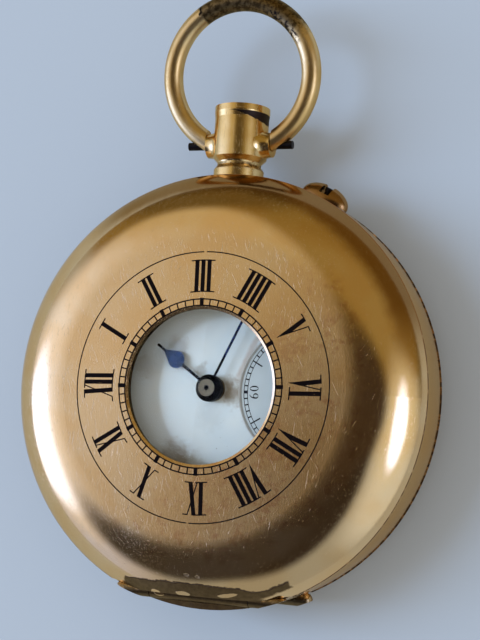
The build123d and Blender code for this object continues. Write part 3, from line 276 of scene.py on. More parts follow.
def patchOn(bench, angle, radius, ragged):        # the patch and the dark rim along its upper edge
    spec = wornPatch
    off = angle - spec["middle"]
    height = radius - (off * off * spec["drop"]).math("MINIMUM", spec["mostDrop"]) + ragged
    drift = ragged * spec["drift"]
    sides = bench.edge(angle + drift, spec["start"], spec["endSoft"]) \
        * bench.edge(angle + drift, spec["end"], -spec["endSoft"])
    rightEnd = bench.step(angle + ragged * spec["rightDrift"], *spec["rightEnd"])
    lower = 1.0 - bench.edge(radius + ragged * spec["lowRagged"], spec["low"], spec["lowSoft"]) * rightEnd
    patch = bench.edge(height, spec["top"], spec["topSoft"]) * sides * lower
    for spot in spec["islands"]:
        inside = oval(angle, radius + ragged * spec["islandRagged"], spot)
        patch = patch * bench.step(inside, *spec["islandEdge"])
    return patch, bench.step(abs(height - spec["top"]), *spec["rimAway"]) * sides


def pitsOn(bench, angle, radius):
    return bench.top(*[bench.step(oval(angle, radius, spot), *wornPatch["pitEdge"])
                       for spot in wornPatch["pits"]])


lidLook = {
    "rightWay": (0.8, -0.6),                      # the lid's lower right
    "calm": (0.0, 12.0),                          # where scratches fade, that way
    "calmCuts": 0.288,                            # the share of them that goes
    "calmHairs": 0.72,
    "blush": rgb(212, 150, 100),                  # reddish clouds, only that way
    "blushNoise": (0.75, 4.0, 0.65),
    "blushEdge": (0.48, 0.66),
    "blushFrom": (-2.0, 8.0),
    "blushInside": (21.0, 18.5),
    "blushShare": 0.5,
    "face": (21.0, 16.5),                         # from the bright shoulder in to the duller face
    "outside": (11.0, 11.2),                      # the lid's underside and ledge lie lower
    "wave": (0.55, 3.0, 0.55),                    # two noises make the borders ragged
    "waveHigh": 0.7,
    "frill": (2.6, 3.0, 0.6),
    "frillHigh": 0.28,
    "wall": rgb(34, 22, 14),                      # painted shade on the window's wall, which makes it dark
    "wallInside": (9.05, 8.98),
    "wallBelow": (15.365, 15.34),
    "tarnishAndDarkReflection": rgb(148, 100, 46),                 # brown round the shoulder on the pendant's side: tarnish, with a painted dark reflection
    "darkShoulderFrom": (21.8, 23.4),
    "darkShoulderMiddle": 72.0,
    "darkShoulderAway": (66.0, 46.0),
    "darkShoulderShare": 0.85,
    "rough": {"shoulder": 0.10, "face": 0.15, "rubs": 0.08, "faceRubs": 0.10, "scratches": 0.06,
              "patch": 0.26, "pits": 0.3},
    "relief": {"patch": -0.5, "rim": 0.3, "pits": -0.35},
    "reliefDepth": 0.05,
    "rubDepth": 0.00572,
    "shoulderRubs": 0.5,                          # depth of the rubs there, a third of what the face has
}


def lidGold():
    look, rough, relief = lidLook, lidLook["rough"], lidLook["relief"]
    finish, bench = newFinish("lidGold")
    place = bench.place()
    x, y, z = bench.parts(place)
    radius = bench.far(x, y)
    angle = bench.bearing(x, y)
    toRight = x * look["rightWay"][0] + y * look["rightWay"][1]
    face = bench.step(radius, *look["face"])
    outside = bench.step(z, *look["outside"])
    dirt = bench.noise(place, *goldLook["dirt"])
    frill = bench.noise(place, *look["frill"]) - 0.5
    ragged = (bench.noise(place, *look["wave"]) - 0.5) * look["waveHigh"] + frill * look["frillHigh"]

    rubs, cuts, hairs = wearOn(bench, place)
    calm = bench.step(toRight, *look["calm"])
    scratches = bench.top(cuts * (1.0 - calm * look["calmCuts"]), hairs * (1.0 - calm * look["calmHairs"]))
    patch, rim = [mask * outside for mask in patchOn(bench, angle, radius, ragged)]
    pits = pitsOn(bench, angle, radius + frill * wornPatch["pitRagged"]) * outside
    seam = seamGrime(bench, radius, z, joints[1:], bench.step(dirt, *seamLook["lidBroken"]))
    blush = bench.step(bench.noise(place, *look["blushNoise"]), *look["blushEdge"]) \
        * bench.step(toRight, *look["blushFrom"]) * bench.step(radius, *look["blushInside"])
    # painted shade on the inner wall of the window, below its bevel
    wall = bench.step(radius, *look["wallInside"]) * bench.step(z, *look["wallBelow"])
    # tarnish and a painted dark reflection on the shoulder towards the pendant
    tarnishAndDarkReflection = bench.step(radius + ragged, *look["darkShoulderFrom"]) \
        * bench.step(abs(angle - look["darkShoulderMiddle"]), *look["darkShoulderAway"])
    bare = bench.mix(bench.step(dirt, *wornPatch["mottle"]), wornPatch["base"],
                     dim(wornPatch["base"], wornPatch["deep"]))

    colour = bench.layers(
        goldGround(bench, place, goldLook),
        (blush * look["blushShare"], look["blush"]),
        (patch, bare),
        (bench.top(rim * wornPatch["rimShare"], pits * wornPatch["pitShare"]), wornPatch["rim"]),
        (seam, seamLook["grime"]),
        (wall, look["wall"]),
        (tarnishAndDarkReflection * look["darkShoulderShare"], look["tarnishAndDarkReflection"]))
    roughness = face * rough["face"] + rough["shoulder"]
    roughness = roughness + (rubs - 0.5) * (face * rough["faceRubs"] + rough["rubs"])
    roughness = roughness + scratches * rough["scratches"] + patch * rough["patch"] + pits * rough["pits"]
    roughness = roughness + seam * seamLook["rough"]
    lineRelief = bench.bump(rubs * (face + look["shoulderRubs"]), look["rubDepth"],
                            bench.bump(scratches, -goldLook["cutDepth"]))
    patchRelief = patch * relief["patch"] + rim * relief["rim"] + pits * relief["pits"]
    shade(bench, {"Base Color": colour, "Metallic": 1.0 - seam * seamLook["dull"], "Roughness": roughness,
                  "Normal": bench.bump(patchRelief, look["reliefDepth"], lineRelief),
                  "Specular Tint": goldLook["slant"]})
    return finish


pendantWear = {                      # a dark crescent under the rim and tarnish in the groove
    "axis": 7.6,                     # height of the tube's axis
    "turn": -20.6,                   # the crescent widens towards this side
    "from": -1.4,
    "fromEdge": (-1.7, -1.2),
    "widens": 0.29,
    "ragged": 0.7,
    "soft": 0.06,
    "rim": 32.72,                    # its upper edge, along the tube
    "rimSoft": 0.05,
    "foot": (29.9, 30.2),            # it ends here at the latest
    "frontWay": (0.35, 0.93),        # only on the side that faces up
    "front": (-1.2, -0.6),
    # the crescent's colour: darker under the rim, wider towards one side on the upward face
    "crescentDark": rgb(56, 44, 36),
    "tarnishAndDarkReflection": rgb(92, 68, 34),
    "groove": 26.35,
    "grooveAway": (0.55, 0.2),
    "grooveBroken": (0.35, 0.6),
    "grooveShare": 0.9,
    "rough": 0.3,
}


def pendantMarks(bench, x, y, z, dirt):
    spec = pendantWear
    up = z - spec["axis"]
    side = x * cos(radians(spec["turn"])) + up * sin(radians(spec["turn"]))
    front = bench.step(x * spec["frontWay"][0] + up * spec["frontWay"][1], *spec["front"])
    width = (side - spec["from"]).math("MAXIMUM", 0.0) * spec["widens"] + (dirt - 0.5) * spec["ragged"]
    below = spec["rim"] - y
    crescent = bench.edge(width - below, 0.0, spec["soft"]) * bench.edge(below, 0.0, spec["rimSoft"]) * front
    crescent = crescent * bench.step(side, *spec["fromEdge"]) * bench.step(y, *spec["foot"])
    groove = bench.step(abs(y - spec["groove"]), *spec["grooveAway"]) \
        * bench.step(dirt, *spec["grooveBroken"])
    stain = bench.top(crescent, groove * spec["grooveShare"])
    return stain, bench.mix(crescent, spec["tarnishAndDarkReflection"], spec["crescentDark"]), spec["rough"]


bowWear = {                          # old tarnish over the bow's top, with black cracks
    "centre": 37.26,
    "wire": 8.7,                     # radius of the wire's middle
    "olive": rgb(60, 44, 22),
    "start": 33.0,
    "startSoft": 8.0,
    "end": 124.0,
    "endEdge": (125.5, 123.5),
    "ragged": 16.0,                  # degrees that the start wanders
    "endRagged": 4.8,
    "least": 0.75,                   # share of the tarnish in its thin places, and what thick ones add
    "more": 0.2,
    "thick": (0.4, 0.6),
    "crack": rgb(38, 30, 24),
    "notchSlant": 3.0,               # degrees for each millimetre across the wire
    "notchAway": (2.2, 0.8),
    "notchFrom": (8.3, 8.6),
    "veins": (0.48, 0.54),
    "veinsInside": (8.75, 8.3),
    "veinsRagged": 0.9,
    "veinsMiddle": 46.0,
    "veinsAway": (26.0, 14.0),
    "rough": 0.12,
}


def bowMarks(bench, x, y, z, dirt):
    spec = bowWear
    up = y - spec["centre"]
    angle = bench.bearing(x, up)
    radius = bench.far(x, up)
    uneven = dirt - 0.5
    brown = bench.edge(angle + uneven * spec["ragged"], spec["start"], spec["startSoft"]) \
        * bench.step(angle + uneven * spec["endRagged"], *spec["endEdge"])
    slant = (radius - spec["wire"]) * spec["notchSlant"]
    notch = bench.step(abs(angle - spec["end"] + slant + uneven * spec["endRagged"]), *spec["notchAway"]) \
        * bench.step(radius, *spec["notchFrom"])
    inner = bench.step(radius + uneven * spec["veinsRagged"], *spec["veinsInside"]) \
        * bench.step(abs(angle - spec["veinsMiddle"]), *spec["veinsAway"])
    crack = bench.top(notch, inner * bench.step(dirt, *spec["veins"]))
    stain = bench.top(brown * (spec["least"] + bench.step(dirt, *spec["thick"]) * spec["more"]), crack)
    return stain, bench.mix(crack, spec["olive"], spec["crack"]), spec["rough"]


hingeWear = {                        # dull olive on the band below the hinge
    "light": rgb(88, 70, 42),
    "dark": rgb(64, 48, 30),
    "mottle": (0.4, 0.6),
    "behind": (-22.4, -23.4),
    "ragged": 2.0,
    "middle": -1.0,
    "away": (13.5, 11.0),
    "above": (3.0, 3.6),
    "share": 0.9,
    "rough": 0.2,
}


def caseMarks(bench, x, y, z, dirt):
    spec = hingeWear
    stain = bench.step(y + (dirt - 0.5) * spec["ragged"], *spec["behind"]) \
        * bench.step(abs(x - spec["middle"]), *spec["away"]) * bench.step(z, *spec["above"])
    colour = bench.mix(bench.step(dirt, *spec["mottle"]), spec["light"], spec["dark"])
    return stain * spec["share"], colour, spec["rough"]


metalGrain = {"detail": 4.0, "rough": 0.65, "edge": (0.3, 0.7), "roughness": 0.12}


def metal(name, colour, rough, scale=4.0, depth=0.002, metallic=1.0, deep=0.82):
    finish, bench = newFinish(name)
    grain = bench.noise(bench.place(), scale, metalGrain["detail"], metalGrain["rough"])
    tint = bench.mix(bench.step(grain, *metalGrain["edge"]), dim(colour, deep), colour)
    shade(bench, {"Base Color": tint, "Metallic": metallic, "Normal": bench.bump(grain, depth),
                  "Roughness": (grain - 0.5) * metalGrain["roughness"] + rough})
    return finish


handLook = {                         # blued steel that has gone nearly black but for one stretch
    "hour": {"dark": rgb(12, 13, 20), "blue": rgb(17, 35, 64), "from": (4.1, 4.9), "to": (7.5, 6.8)},
    "minute": {"dark": rgb(12, 13, 19), "blue": rgb(26, 34, 62), "from": (3.5, 4.3), "to": (9.3, 8.6)},
    "spots": (5.0, 3.0, 0.6),
    "spotEdge": (0.3, 0.6),
    "spotRough": 0.2,
    "rough": 0.18,
    "depth": 0.004,
}


def handSteel(name, hand):
    finish, bench = newFinish(name)
    place = bench.place()
    x, y, z = bench.parts(place)
    reach = bench.far(x, y)
    spots = bench.noise(place, *handLook["spots"])
    bright = bench.step(reach, *hand["from"]) * bench.step(reach, *hand["to"])
    colour = bench.mix(bright * bench.step(spots, *handLook["spotEdge"]), hand["dark"], hand["blue"])
    shade(bench, {"Base Color": colour, "Metallic": 1.0, "Normal": bench.bump(spots, handLook["depth"]),
                  "Roughness": spots * handLook["spotRough"] + handLook["rough"]})
    return finish


capLook = {                          # the end of the hub, dull grey with a dark hole and ring
    "dark": rgb(84, 76, 64),
    "light": rgb(128, 118, 102),
    "shadow": rgb(22, 14, 12),
    "hole": (0.33, 0.27),
    "ringBelow": (13.13, 13.11),     # what lies lower is dark
    "grain": (7.0, 4.0, 0.7),
    "grainEdge": (0.35, 0.65),
    "grainRough": 0.2,
    "rough": 0.4,
    "depth": 0.006,
    "metallic": 0.5,
    "specular": 0.3,
}


def capMetal(name):
    finish, bench = newFinish(name)
    place = bench.place()
    x, y, z = bench.parts(place)
    grain = bench.noise(place, *capLook["grain"])
    hole = bench.top(bench.step(bench.far(x, y), *capLook["hole"]), bench.step(z, *capLook["ringBelow"]))
    tint = bench.mix(bench.step(grain, *capLook["grainEdge"]), capLook["dark"], capLook["light"])
    shade(bench, {"Base Color": bench.mix(hole, tint, capLook["shadow"]), "Metallic": capLook["metallic"],
                  "Roughness": grain * capLook["grainRough"] + capLook["rough"],
                  "Specular IOR Level": capLook["specular"], "Normal": bench.bump(grain, capLook["depth"])})
    return finish


dialLook = {
    "cool": rgb(204, 220, 230),
    "mild": rgb(214, 226, 232),
    "seconds": rgb(194, 208, 216),
    "secondsDeep": 0.94,
    "haze": (0.22, 3.0, 0.5),
    "hazeEdge": (0.3, 0.7),
    "hazeRough": 0.04,
    "rough": 0.14,
    "stain": rgb(112, 90, 44),
    "stains": (                      # x, y, half width and strength
        (2.3, -0.5, 1.3, 1.0), (1.9, 0.9, 0.8, 0.5), (-1.7, 2.0, 0.8, 0.6), (-4.6, 4.6, 1.3, 0.7),
        (-4.4, -8.2, 2.0, 0.9), (-2.2, -8.9, 1.6, 0.6), (-0.2, -3.2, 1.6, 0.16), (-8.6, 2.4, 1.6, 0.5),
    ),
    "stainEdge": (1.5, 0.3),         # in half widths
    "stainShare": 0.7,
    "blots": (1.1, 4.0, 0.6),
    "blotHigh": 2.4,                 # how far they fray the stains
    "handShadow": rgb(166, 140, 122),     # painted shadow of the minute hand: one pale brown streak beside it
    "handShadowWay": (0.4, 0.917),
    "handShadowAside": 2.15,
    "handShadowAway": (0.55, 0.1),
    "handShadowFrom": (1.6, 3.0),
    "handShadowBlot": 0.3,
    "handShadowShare": 0.5,
    "spot": rgb(60, 52, 40),
    "specks": (3.6, 2.0, 0.5),
    "speckEdge": (0.735, 0.775),
    "speckShare": 0.8,
}


def dialStainsAndHandShadow(bench, place, colour):
    look = dialLook
    x, y, z = bench.parts(place)
    blot = bench.noise(place, *look["blots"]) - 0.5
    for cx, cy, size, strength in look["stains"]:
        away = bench.far(x - cx, y - cy) + blot * look["blotHigh"]
        stain = bench.step(away, size * look["stainEdge"][0], size * look["stainEdge"][1])
        colour = bench.mix(stain * (look["stainShare"] * strength), colour, look["stain"])
    # the painted shadow of the minute hand, a streak parallel to the hand
    wayX, wayY = look["handShadowWay"]
    along = x * wayX + y * wayY
    aside = x * wayY - y * wayX - look["handShadowAside"] + blot * look["handShadowBlot"]
    handShadow = bench.step(abs(aside), *look["handShadowAway"]) * bench.step(along, *look["handShadowFrom"])
    speck = bench.step(bench.noise(place, *look["specks"]), *look["speckEdge"])
    return bench.layers(colour, (handShadow * look["handShadowShare"], look["handShadow"]),
                        (speck * look["speckShare"], look["spot"]))


def enamelWhite(name, deep, light, withStainsAndShadow):
    finish, bench = newFinish(name)
    place = bench.place()
    haze = bench.step(bench.noise(place, *dialLook["haze"]), *dialLook["hazeEdge"])
    colour = bench.mix(haze, deep, light)
    # stains, and the painted shadow of the minute hand
    if withStainsAndShadow:
        colour = dialStainsAndHandShadow(bench, place, colour)
    shade(bench, {"Base Color": colour, "Roughness": haze * dialLook["hazeRough"] + dialLook["rough"]})
    return finish


inkLook = {                          # black wax in the engraving and fired print on the dials
    "worn": (4.0, 3.0, 0.5),
    "wornEdge": (0.35, 0.75),
    "wornShare": 1.9,                # how much paler worn places are
    "wornRough": 0.15,
    "chips": (5.5, 2.0, 0.5),        # small places that the wax has left
    "chipEdge": (0.76, 0.79),
    "depth": 0.004,
    "specular": 0.05,
}


def inkBlack(name, colour, rough, chipped):
    finish, bench = newFinish(name)
    place = bench.place()
    worn = bench.step(bench.noise(place, *inkLook["worn"]), *inkLook["wornEdge"])
    tint = bench.mix(worn, colour, dim(colour, inkLook["wornShare"]))
    if chipped:
        chips = bench.step(bench.noise(place, *inkLook["chips"]), *inkLook["chipEdge"])
        tint = bench.mix(chips, tint, goldLook["warm"])
    shade(bench, {"Base Color": tint, "Roughness": worn * inkLook["wornRough"] + rough,
                  "Specular IOR Level": inkLook["specular"], "Normal": bench.bump(worn, inkLook["depth"])})
    return finish


glassLook = {"index": 1.1, "dust": (6.0, 3.0, 0.5), "dustEdge": (0.68, 0.8), "dustRough": 0.04}


def clearGlass(name):
    finish, bench = newFinish(name)
    dust = bench.step(bench.noise(bench.place(), *glassLook["dust"]), *glassLook["dustEdge"])
    glass = bench.node("ShaderNodeBsdfPrincipled", {},
                       {"Base Color": (1.0, 1.0, 1.0, 1.0), "Transmission Weight": 1.0,
                        "IOR": glassLook["index"], "Roughness": dust * glassLook["dustRough"]})
    clear = bench.node("ShaderNodeBsdfTransparent")
    both = bench.node("ShaderNodeMixShader", {}, {0: bench.ray("Shadow", "Diffuse"), 1: glass, 2: clear})
    bench.node("ShaderNodeOutputMaterial", {}, {"Surface": both})
    return finish


pendantTones = {"warm": rgb(230, 186, 112), "pale": rgb(240, 202, 136)}
bowTones = {"warm": rgb(222, 178, 108), "pale": rgb(236, 198, 134)}
# the guard's gold is darker: its own darker tone, with a painted dark reflection
guardShadedTones = {"warm": rgb(150, 108, 62), "pale": rgb(176, 132, 82)}
finishes = {
    "lid": lidGold(),
    "case": gold("caseGold", 0.17, seams=joints, marks=caseMarks),
    "pendant": gold("pendantGold", 0.19, pendantTones, marks=pendantMarks),
    "bow": gold("bowGold", 0.32, bowTones, marks=bowMarks),
    "guard": gold("guardGold", 0.2, guardShadedTones),
    "inner": gold("innerGold", 0.12, {"cutDepth": 0.002}),
    "darkSteel": metal("darkSteel", rgb(46, 42, 42), 0.45),
    # the retaining ring is made dark to paint the shade in the gap round the window
    "ring": metal("ringPaintedShade", rgb(74, 52, 32), 0.5),
    "steel": metal("polishedSteel", rgb(196, 198, 202), 0.18),
    "blued": metal("bluedSteel", rgb(38, 52, 108), 0.22),
    "brass": metal("movementBrass", rgb(214, 182, 108), 0.26),
    "gilt": metal("giltPlate", rgb(224, 192, 120), 0.36, scale=9.0, depth=0.004),
    "ruby": metal("ruby", rgb(176, 28, 58), 0.08, scale=3.0, depth=0.0, metallic=0.0),
    "dial": enamelWhite("dialEnamel", dialLook["cool"], dialLook["mild"], True),
    "secondsDial": enamelWhite("secondsEnamel", dim(dialLook["seconds"], dialLook["secondsDeep"]),
                               dialLook["seconds"], False),
    "hourSteel": handSteel("hourHandSteel", handLook["hour"]),
    "minuteSteel": handSteel("minuteHandSteel", handLook["minute"]),
    "hubCap": capMetal("hubCap"),
    "engraving": inkBlack("engravingInk", rgb(11, 6, 7), 0.5, True),
    "print": inkBlack("dialPrint", rgb(18, 18, 26), 0.4, False),
    "edge": metal("dialEdge", rgb(214, 222, 228), 0.3, scale=3.0, depth=0.0, metallic=0.0, deep=0.95),
    "glass": clearGlass("watchGlass"),
}
bySlot = {
    "case_gold": "case",
    "dark_steel": "darkSteel",
    "polished_steel": "steel",
    "blued_steel": "blued",
    "movement_brass": "brass",
    "gilt_plate": "gilt",
    "ruby": "ruby",
    "enamel": "dial",
    "glass": "glass",
}
byNode = {
    "front_cover": "lid",
    "pendant_tube": "pendant",
    "bow": "bow",
    "setting_guard": "guard",
    # dark finish that paints the shade round the window
    "window_retaining_ring": "ring",
    "seconds_dial": "secondsDial",
    "cuvette": "inner",
    "inner_bezel": "inner",
    "hour_hand": "hourSteel",
    "minute_hand": "minuteSteel",
    "cannon_pinion": "minuteSteel",
    "hub_disc": "hubCap",
}


def dressNodes():
    for name, piece in nodes.items():
        slot = piece.data.materials[0].name.split(".")[0]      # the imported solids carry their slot's name
        finish = finishes[byNode.get(name, bySlot[slot])]
        piece.data.materials.clear()
        piece.data.materials.append(finish)
    print("finishes on", len(nodes), "nodes")


dressNodes()


# Flat marks: numerals, rings and lines that lie on the lid and the dials

def addOutline(shape, corners):                    # one flat face of a few corners, in millimetres
    shape.faces.new([shape.verts.new((a * mm, b * mm, 0.0)) for a, b in corners])


def addRing(shape, centre, low, high, start=0.0, sweep=360.0, steps=180):
    begin = radians(start)
    ends = [shape.verts.new(((centre[0] + r * cos(begin)) * mm, (centre[1] + r * sin(begin)) * mm, 0.0))
            for r in (low, high)]
    line = shape.edges.new(ends)
    bmesh.ops.spin(shape, geom=ends + [line], cent=(centre[0] * mm, centre[1] * mm, 0.0), axis=(0, 0, 1),
                   angle=radians(sweep), steps=steps, use_merge=sweep >= 360.0)


def radialPoint(centre, bearing, radius, aside):   # aside runs clockwise, square to the bearing
    turn = radians(bearing) - asin(aside / radius)
    return centre[0] + radius * cos(turn), centre[1] + radius * sin(turn)


def addRadial(shape, centre, bearing, corners):    # corners are (aside, radius)
    addOutline(shape, [radialPoint(centre, bearing, radius, aside) for aside, radius in corners])


def addTicks(shape, centre, low, high, width, bearings):
    half = width / 2
    for bearing in bearings:
        addRadial(shape, centre, bearing, [(-half, low), (-half, high), (half, high), (half, low)])


romanLook = {                        # widths and places along the line, as shares of a numeral's height
    "bar": 0.133,
    "pitch": 0.200,
    "hair": 0.038,
    "serif": 0.037,
    "over": 0.127,
    "vFoot": (0.114, 0.125),
    "vDrop": 0.02,
    "vJoin": ((0.209, 0.39), (0.185, 0.43)),
    "vThin": 0.304,
    "vNext": 0.370,
    "xThin": 0.264,
    "xBack": 0.435,
    "xNext": 0.313,
    "xAfter": 0.215,
    "lean": {"XII": 0.073, "XI": 0.133, "X": 0.188, "IX": 0.128},
}


def romanMarks(word):                # outlines as (along, up), in heights, centred on the word
    look = romanLook
    bar, hair, over, serif = look["bar"], look["hair"], look["over"], look["serif"]
    outlines, topLine, footLine = [], [], []       # the lines hold the two ends of each serif
    along = 0.0
    before = ""
    for letter in word:
        if letter == "X" and before == "I":
            along += look["xAfter"] - look["pitch"]
        if letter == "I":
            outlines.append([(along, 0), (along, 1), (along + bar, 1), (along + bar, 0)])
            topLine.append((along - over, along + bar + over))
            footLine.append((along - over, along + bar + over))
            step = look["pitch"]
        elif letter == "V":
            thin = along + look["vThin"]
            joinLow, joinHigh = [(along + a, b) for a, b in look["vJoin"]]
            footLeft, footRight = [(along + a, -look["vDrop"]) for a in look["vFoot"]]
            outlines.append([(along, 1), (along + bar, 1), joinLow, footRight, footLeft])
            outlines.append([(thin, 1), (thin + hair, 1), joinLow, joinHigh])
            topLine += [(along - over, along + bar), (thin, thin + hair + over)]
            step = look["vNext"]
        else:
            lean = look["lean"][word]
            thin = along + look["xThin"]
            back = thin + lean - look["xBack"]
            outlines.append([(along, 1), (along + bar, 1), (along + bar + lean, 0), (along + lean, 0)])
            outlines.append([(thin, 1), (thin + hair, 1), (back + hair, 0), (back, 0)])
            topLine += [(along - over, along + bar), (thin, thin + hair + over)]
            footLine += [(along + lean, along + lean + bar + over), (back - over, back + hair)]
            step = look["xNext"]
        along += step
        before = letter
    for a, b in topLine:
        outlines.append([(a, 1), (b, 1), (b, 1 - serif), (a, 1 - serif)])
    for a, b in footLine:
        outlines.append([(a, 0), (b, 0), (b, serif), (a, serif)])
    ends = topLine + footLine
    middle = (min(a for a, b in ends) + max(b for a, b in ends)) / 2
    return [[(a - middle, b) for a, b in outline] for outline in outlines]


hourWords = ["XII", "I", "II", "III", "IIII", "V", "VI", "VII", "VIII", "IX", "X", "XI"]
pushStep = 1.004


def pushedOut(point, circle):        # moved away from the middle of the dial until it clears a circle
    centre, limit = circle
    reach = Vector(point)
    while (reach - Vector(centre)).length < limit:
        reach = reach * pushStep
    return reach.x, reach.y


def addRomans(shape, centre, low, high, turn, skip=(), clearOf=None):
    height = high - low
    for hour, word in enumerate(hourWords):
        if word in skip:
            continue
        bearing = 180 - 30 * hour + turn           # the XII is on the left
        for outline in romanMarks(word):
            points = [radialPoint(centre, bearing, low + b * height, a * height) for a, b in outline]
            if clearOf:
                points = [pushedOut(point, clearOf) for point in points]
            addOutline(shape, points)


# Outlines in heights, with the figure's centre at zero. A ring is its middle, its outer and inner half sizes,
# and the start and sweep of its arc.
digitParts = {
    "0": [("ring", (0, 0), (0.30, 0.50), (0.15, 0.45), 0, 360)],
    "1": [("bar", (-0.07, -0.5), (0.07, -0.5), (0.07, 0.5), (-0.07, 0.42)),
          ("bar", (-0.2, -0.5), (0.2, -0.5), (0.2, -0.44), (-0.2, -0.44)),
          ("bar", (-0.07, 0.42), (-0.07, 0.34), (-0.2, 0.27), (-0.2, 0.32))],
    "2": [("ring", (0, 0.22), (0.28, 0.28), (0.14, 0.23), -38, 205),
          ("bar", (0.22, 0.05), (0.10, 0.07), (-0.30, -0.44), (-0.14, -0.44)),
          ("bar", (-0.30, -0.5), (0.30, -0.5), (0.30, -0.36), (-0.30, -0.42))],
    "3": [("ring", (-0.02, 0.24), (0.27, 0.26), (0.13, 0.21), -90, 245),
          ("ring", (-0.02, -0.22), (0.31, 0.28), (0.16, 0.23), -155, 245)],
    "4": [("bar", (0.05, -0.5), (0.19, -0.5), (0.19, 0.5), (0.05, 0.5)),
          ("bar", (-0.34, -0.25), (0.32, -0.25), (0.32, -0.18), (-0.34, -0.18)),
          ("bar", (-0.34, -0.18), (-0.25, -0.18), (0.16, 0.5), (0.08, 0.5))],
    "5": [("bar", (-0.22, 0.5), (0.27, 0.5), (0.27, 0.37), (-0.22, 0.40)),
          ("bar", (-0.22, 0.5), (-0.16, 0.5), (-0.18, -0.03), (-0.24, 0.0)),
          ("ring", (-0.02, -0.2), (0.31, 0.30), (0.16, 0.25), -150, 280)],
    "6": [("ring", (0, -0.2), (0.30, 0.30), (0.15, 0.25), 0, 360),
          ("ring", (0.14, -0.14), (0.44, 0.64), (0.29, 0.59), 92, 92)],
}
digitLook = {"spread": 0.80, "arcStep": 15, "leastSteps": 8}


def addDigits(shape, centre, bearing, radius, height, word):
    for i, figure in enumerate(word):
        shift = (i - (len(word) - 1) / 2) * digitLook["spread"] * height
        for kind, *spec in digitParts[figure]:
            if kind == "bar":
                corners = [(shift + a * height, radius + b * height) for a, b in spec]
                addRadial(shape, centre, bearing, corners)
                continue
            middle, outer, inner, start, sweep = spec
            known = set(shape.verts)
            steps = max(digitLook["leastSteps"], round(sweep / digitLook["arcStep"]))
            low, high = 1.0, 2.0                   # a plain ring first, drawn out to the figure's ovals
            addRing(shape, (0, 0), low, high, start, sweep, steps)
            for vert in [v for v in shape.verts if v not in known]:
                size = inner if vert.co.length < (low + high) / 2 * mm else outer
                way = vert.co.normalized()
                a = shift + (middle[0] + size[0] * way.x) * height
                b = radius + (middle[1] + size[1] * way.y) * height
                x, y = radialPoint(centre, bearing, b, a)
                vert.co = (x * mm, y * mm, 0.0)


def newObject(name, data):
    made = bpy.data.objects.new(name, data)
    bpy.context.scene.collection.objects.link(made)
    return made


def meshObject(name, shape, finish):
    mesh = bpy.data.meshes.new(name)
    shape.to_mesh(mesh)
    shape.free()
    mesh.materials.append(finish)
    return newObject(name, mesh)


def newPiece(name, shape, finish, body):
    piece = meshObject(name, shape, finishes[finish])
    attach(piece, body)
    return piece


markLook = {"above": 0.012, "below": 0.010, "merge": 0.002}


def layMarks(name, shape, heightAt, finish, body):       # gives flat marks their height and a thin body
    bmesh.ops.remove_doubles(shape, verts=shape.verts, dist=markLook["merge"] * mm)
    bmesh.ops.recalc_face_normals(shape, faces=shape.faces)
    down = [f for f in shape.faces if f.normal.z < 0]
    bmesh.ops.reverse_faces(shape, faces=down)
    made = bmesh.ops.extrude_face_region(shape, geom=list(shape.faces))
    lifted = {v for v in made["geom"] if isinstance(v, bmesh.types.BMVert)}
    for vert in shape.verts:
        level = heightAt(vert.co.x / mm, vert.co.y / mm)
        vert.co.z = (level + (markLook["above"] if vert in lifted else -markLook["below"])) * mm
    bmesh.ops.recalc_face_normals(shape, faces=shape.faces)
    newPiece(name, shape, finish, body)


lidFace = {"outerRadius": 17.0, "outerTop": 15.32, "innerRadius": 8.99, "innerTop": 15.5}


def lidHeight(x, y):                 # the lid's face is a shallow cone
    wide = lidFace["outerRadius"] - lidFace["innerRadius"]
    share = (lidFace["outerRadius"] - hypot(x, y)) / wide
    return lidFace["outerTop"] + share * (lidFace["innerTop"] - lidFace["outerTop"])


def parted(turns):                   # of a row of bearings, those between the fifth ones, and the fifth ones
    return [t for i, t in enumerate(turns) if i % 5], turns[::5]


lidMarks = {
    "turn": 1.9,                     # the whole engraving stands a little off the pendant's axis
    "numerals": (10.62, 14.30),
    "circle": 15.17,
    "circleWidth": 0.13,
    "circleArcs": ((91.8, 176.6), (-90.6, 181.2)),
    "circleSteps": 120,
    "track": (8.98, 9.80),
    "trackLine": 0.155,
    "innerGap": 0.0155,
    "cellLine": 0.15,
    "hourBar": 0.46,
    "hourOver": 0.1395,
}


def makeLidMarks():
    spec = lidMarks
    numerals = bmesh.new()
    addRomans(numerals, (0, 0), *spec["numerals"], spec["turn"])
    layMarks("lid_numerals", numerals, lidHeight, "engraving", "front_cover")
    circle = bmesh.new()
    low, high = spec["circle"] - spec["circleWidth"] / 2, spec["circle"] + spec["circleWidth"] / 2
    for start, sweep in spec["circleArcs"]:
        addRing(circle, (0, 0), low, high, start, sweep, spec["circleSteps"])
    layMarks("lid_chapter_circle", circle, lidHeight, "engraving", "front_cover")
    track = bmesh.new()
    low, high = spec["track"]
    half = spec["trackLine"] / 2
    addRing(track, (0, 0), high - half, high + half)
    addRing(track, (0, 0), low + spec["innerGap"], low + spec["innerGap"] + spec["trackLine"])
    cells, hours = parted([6 * i + spec["turn"] for i in range(60)])
    addTicks(track, (0, 0), low + half, high, spec["cellLine"], cells)
    addTicks(track, (0, 0), low + half, high + spec["hourOver"], spec["hourBar"], hours)
    layMarks("lid_minute_track", track, lidHeight, "engraving", "front_cover")
    print("lid engraved")


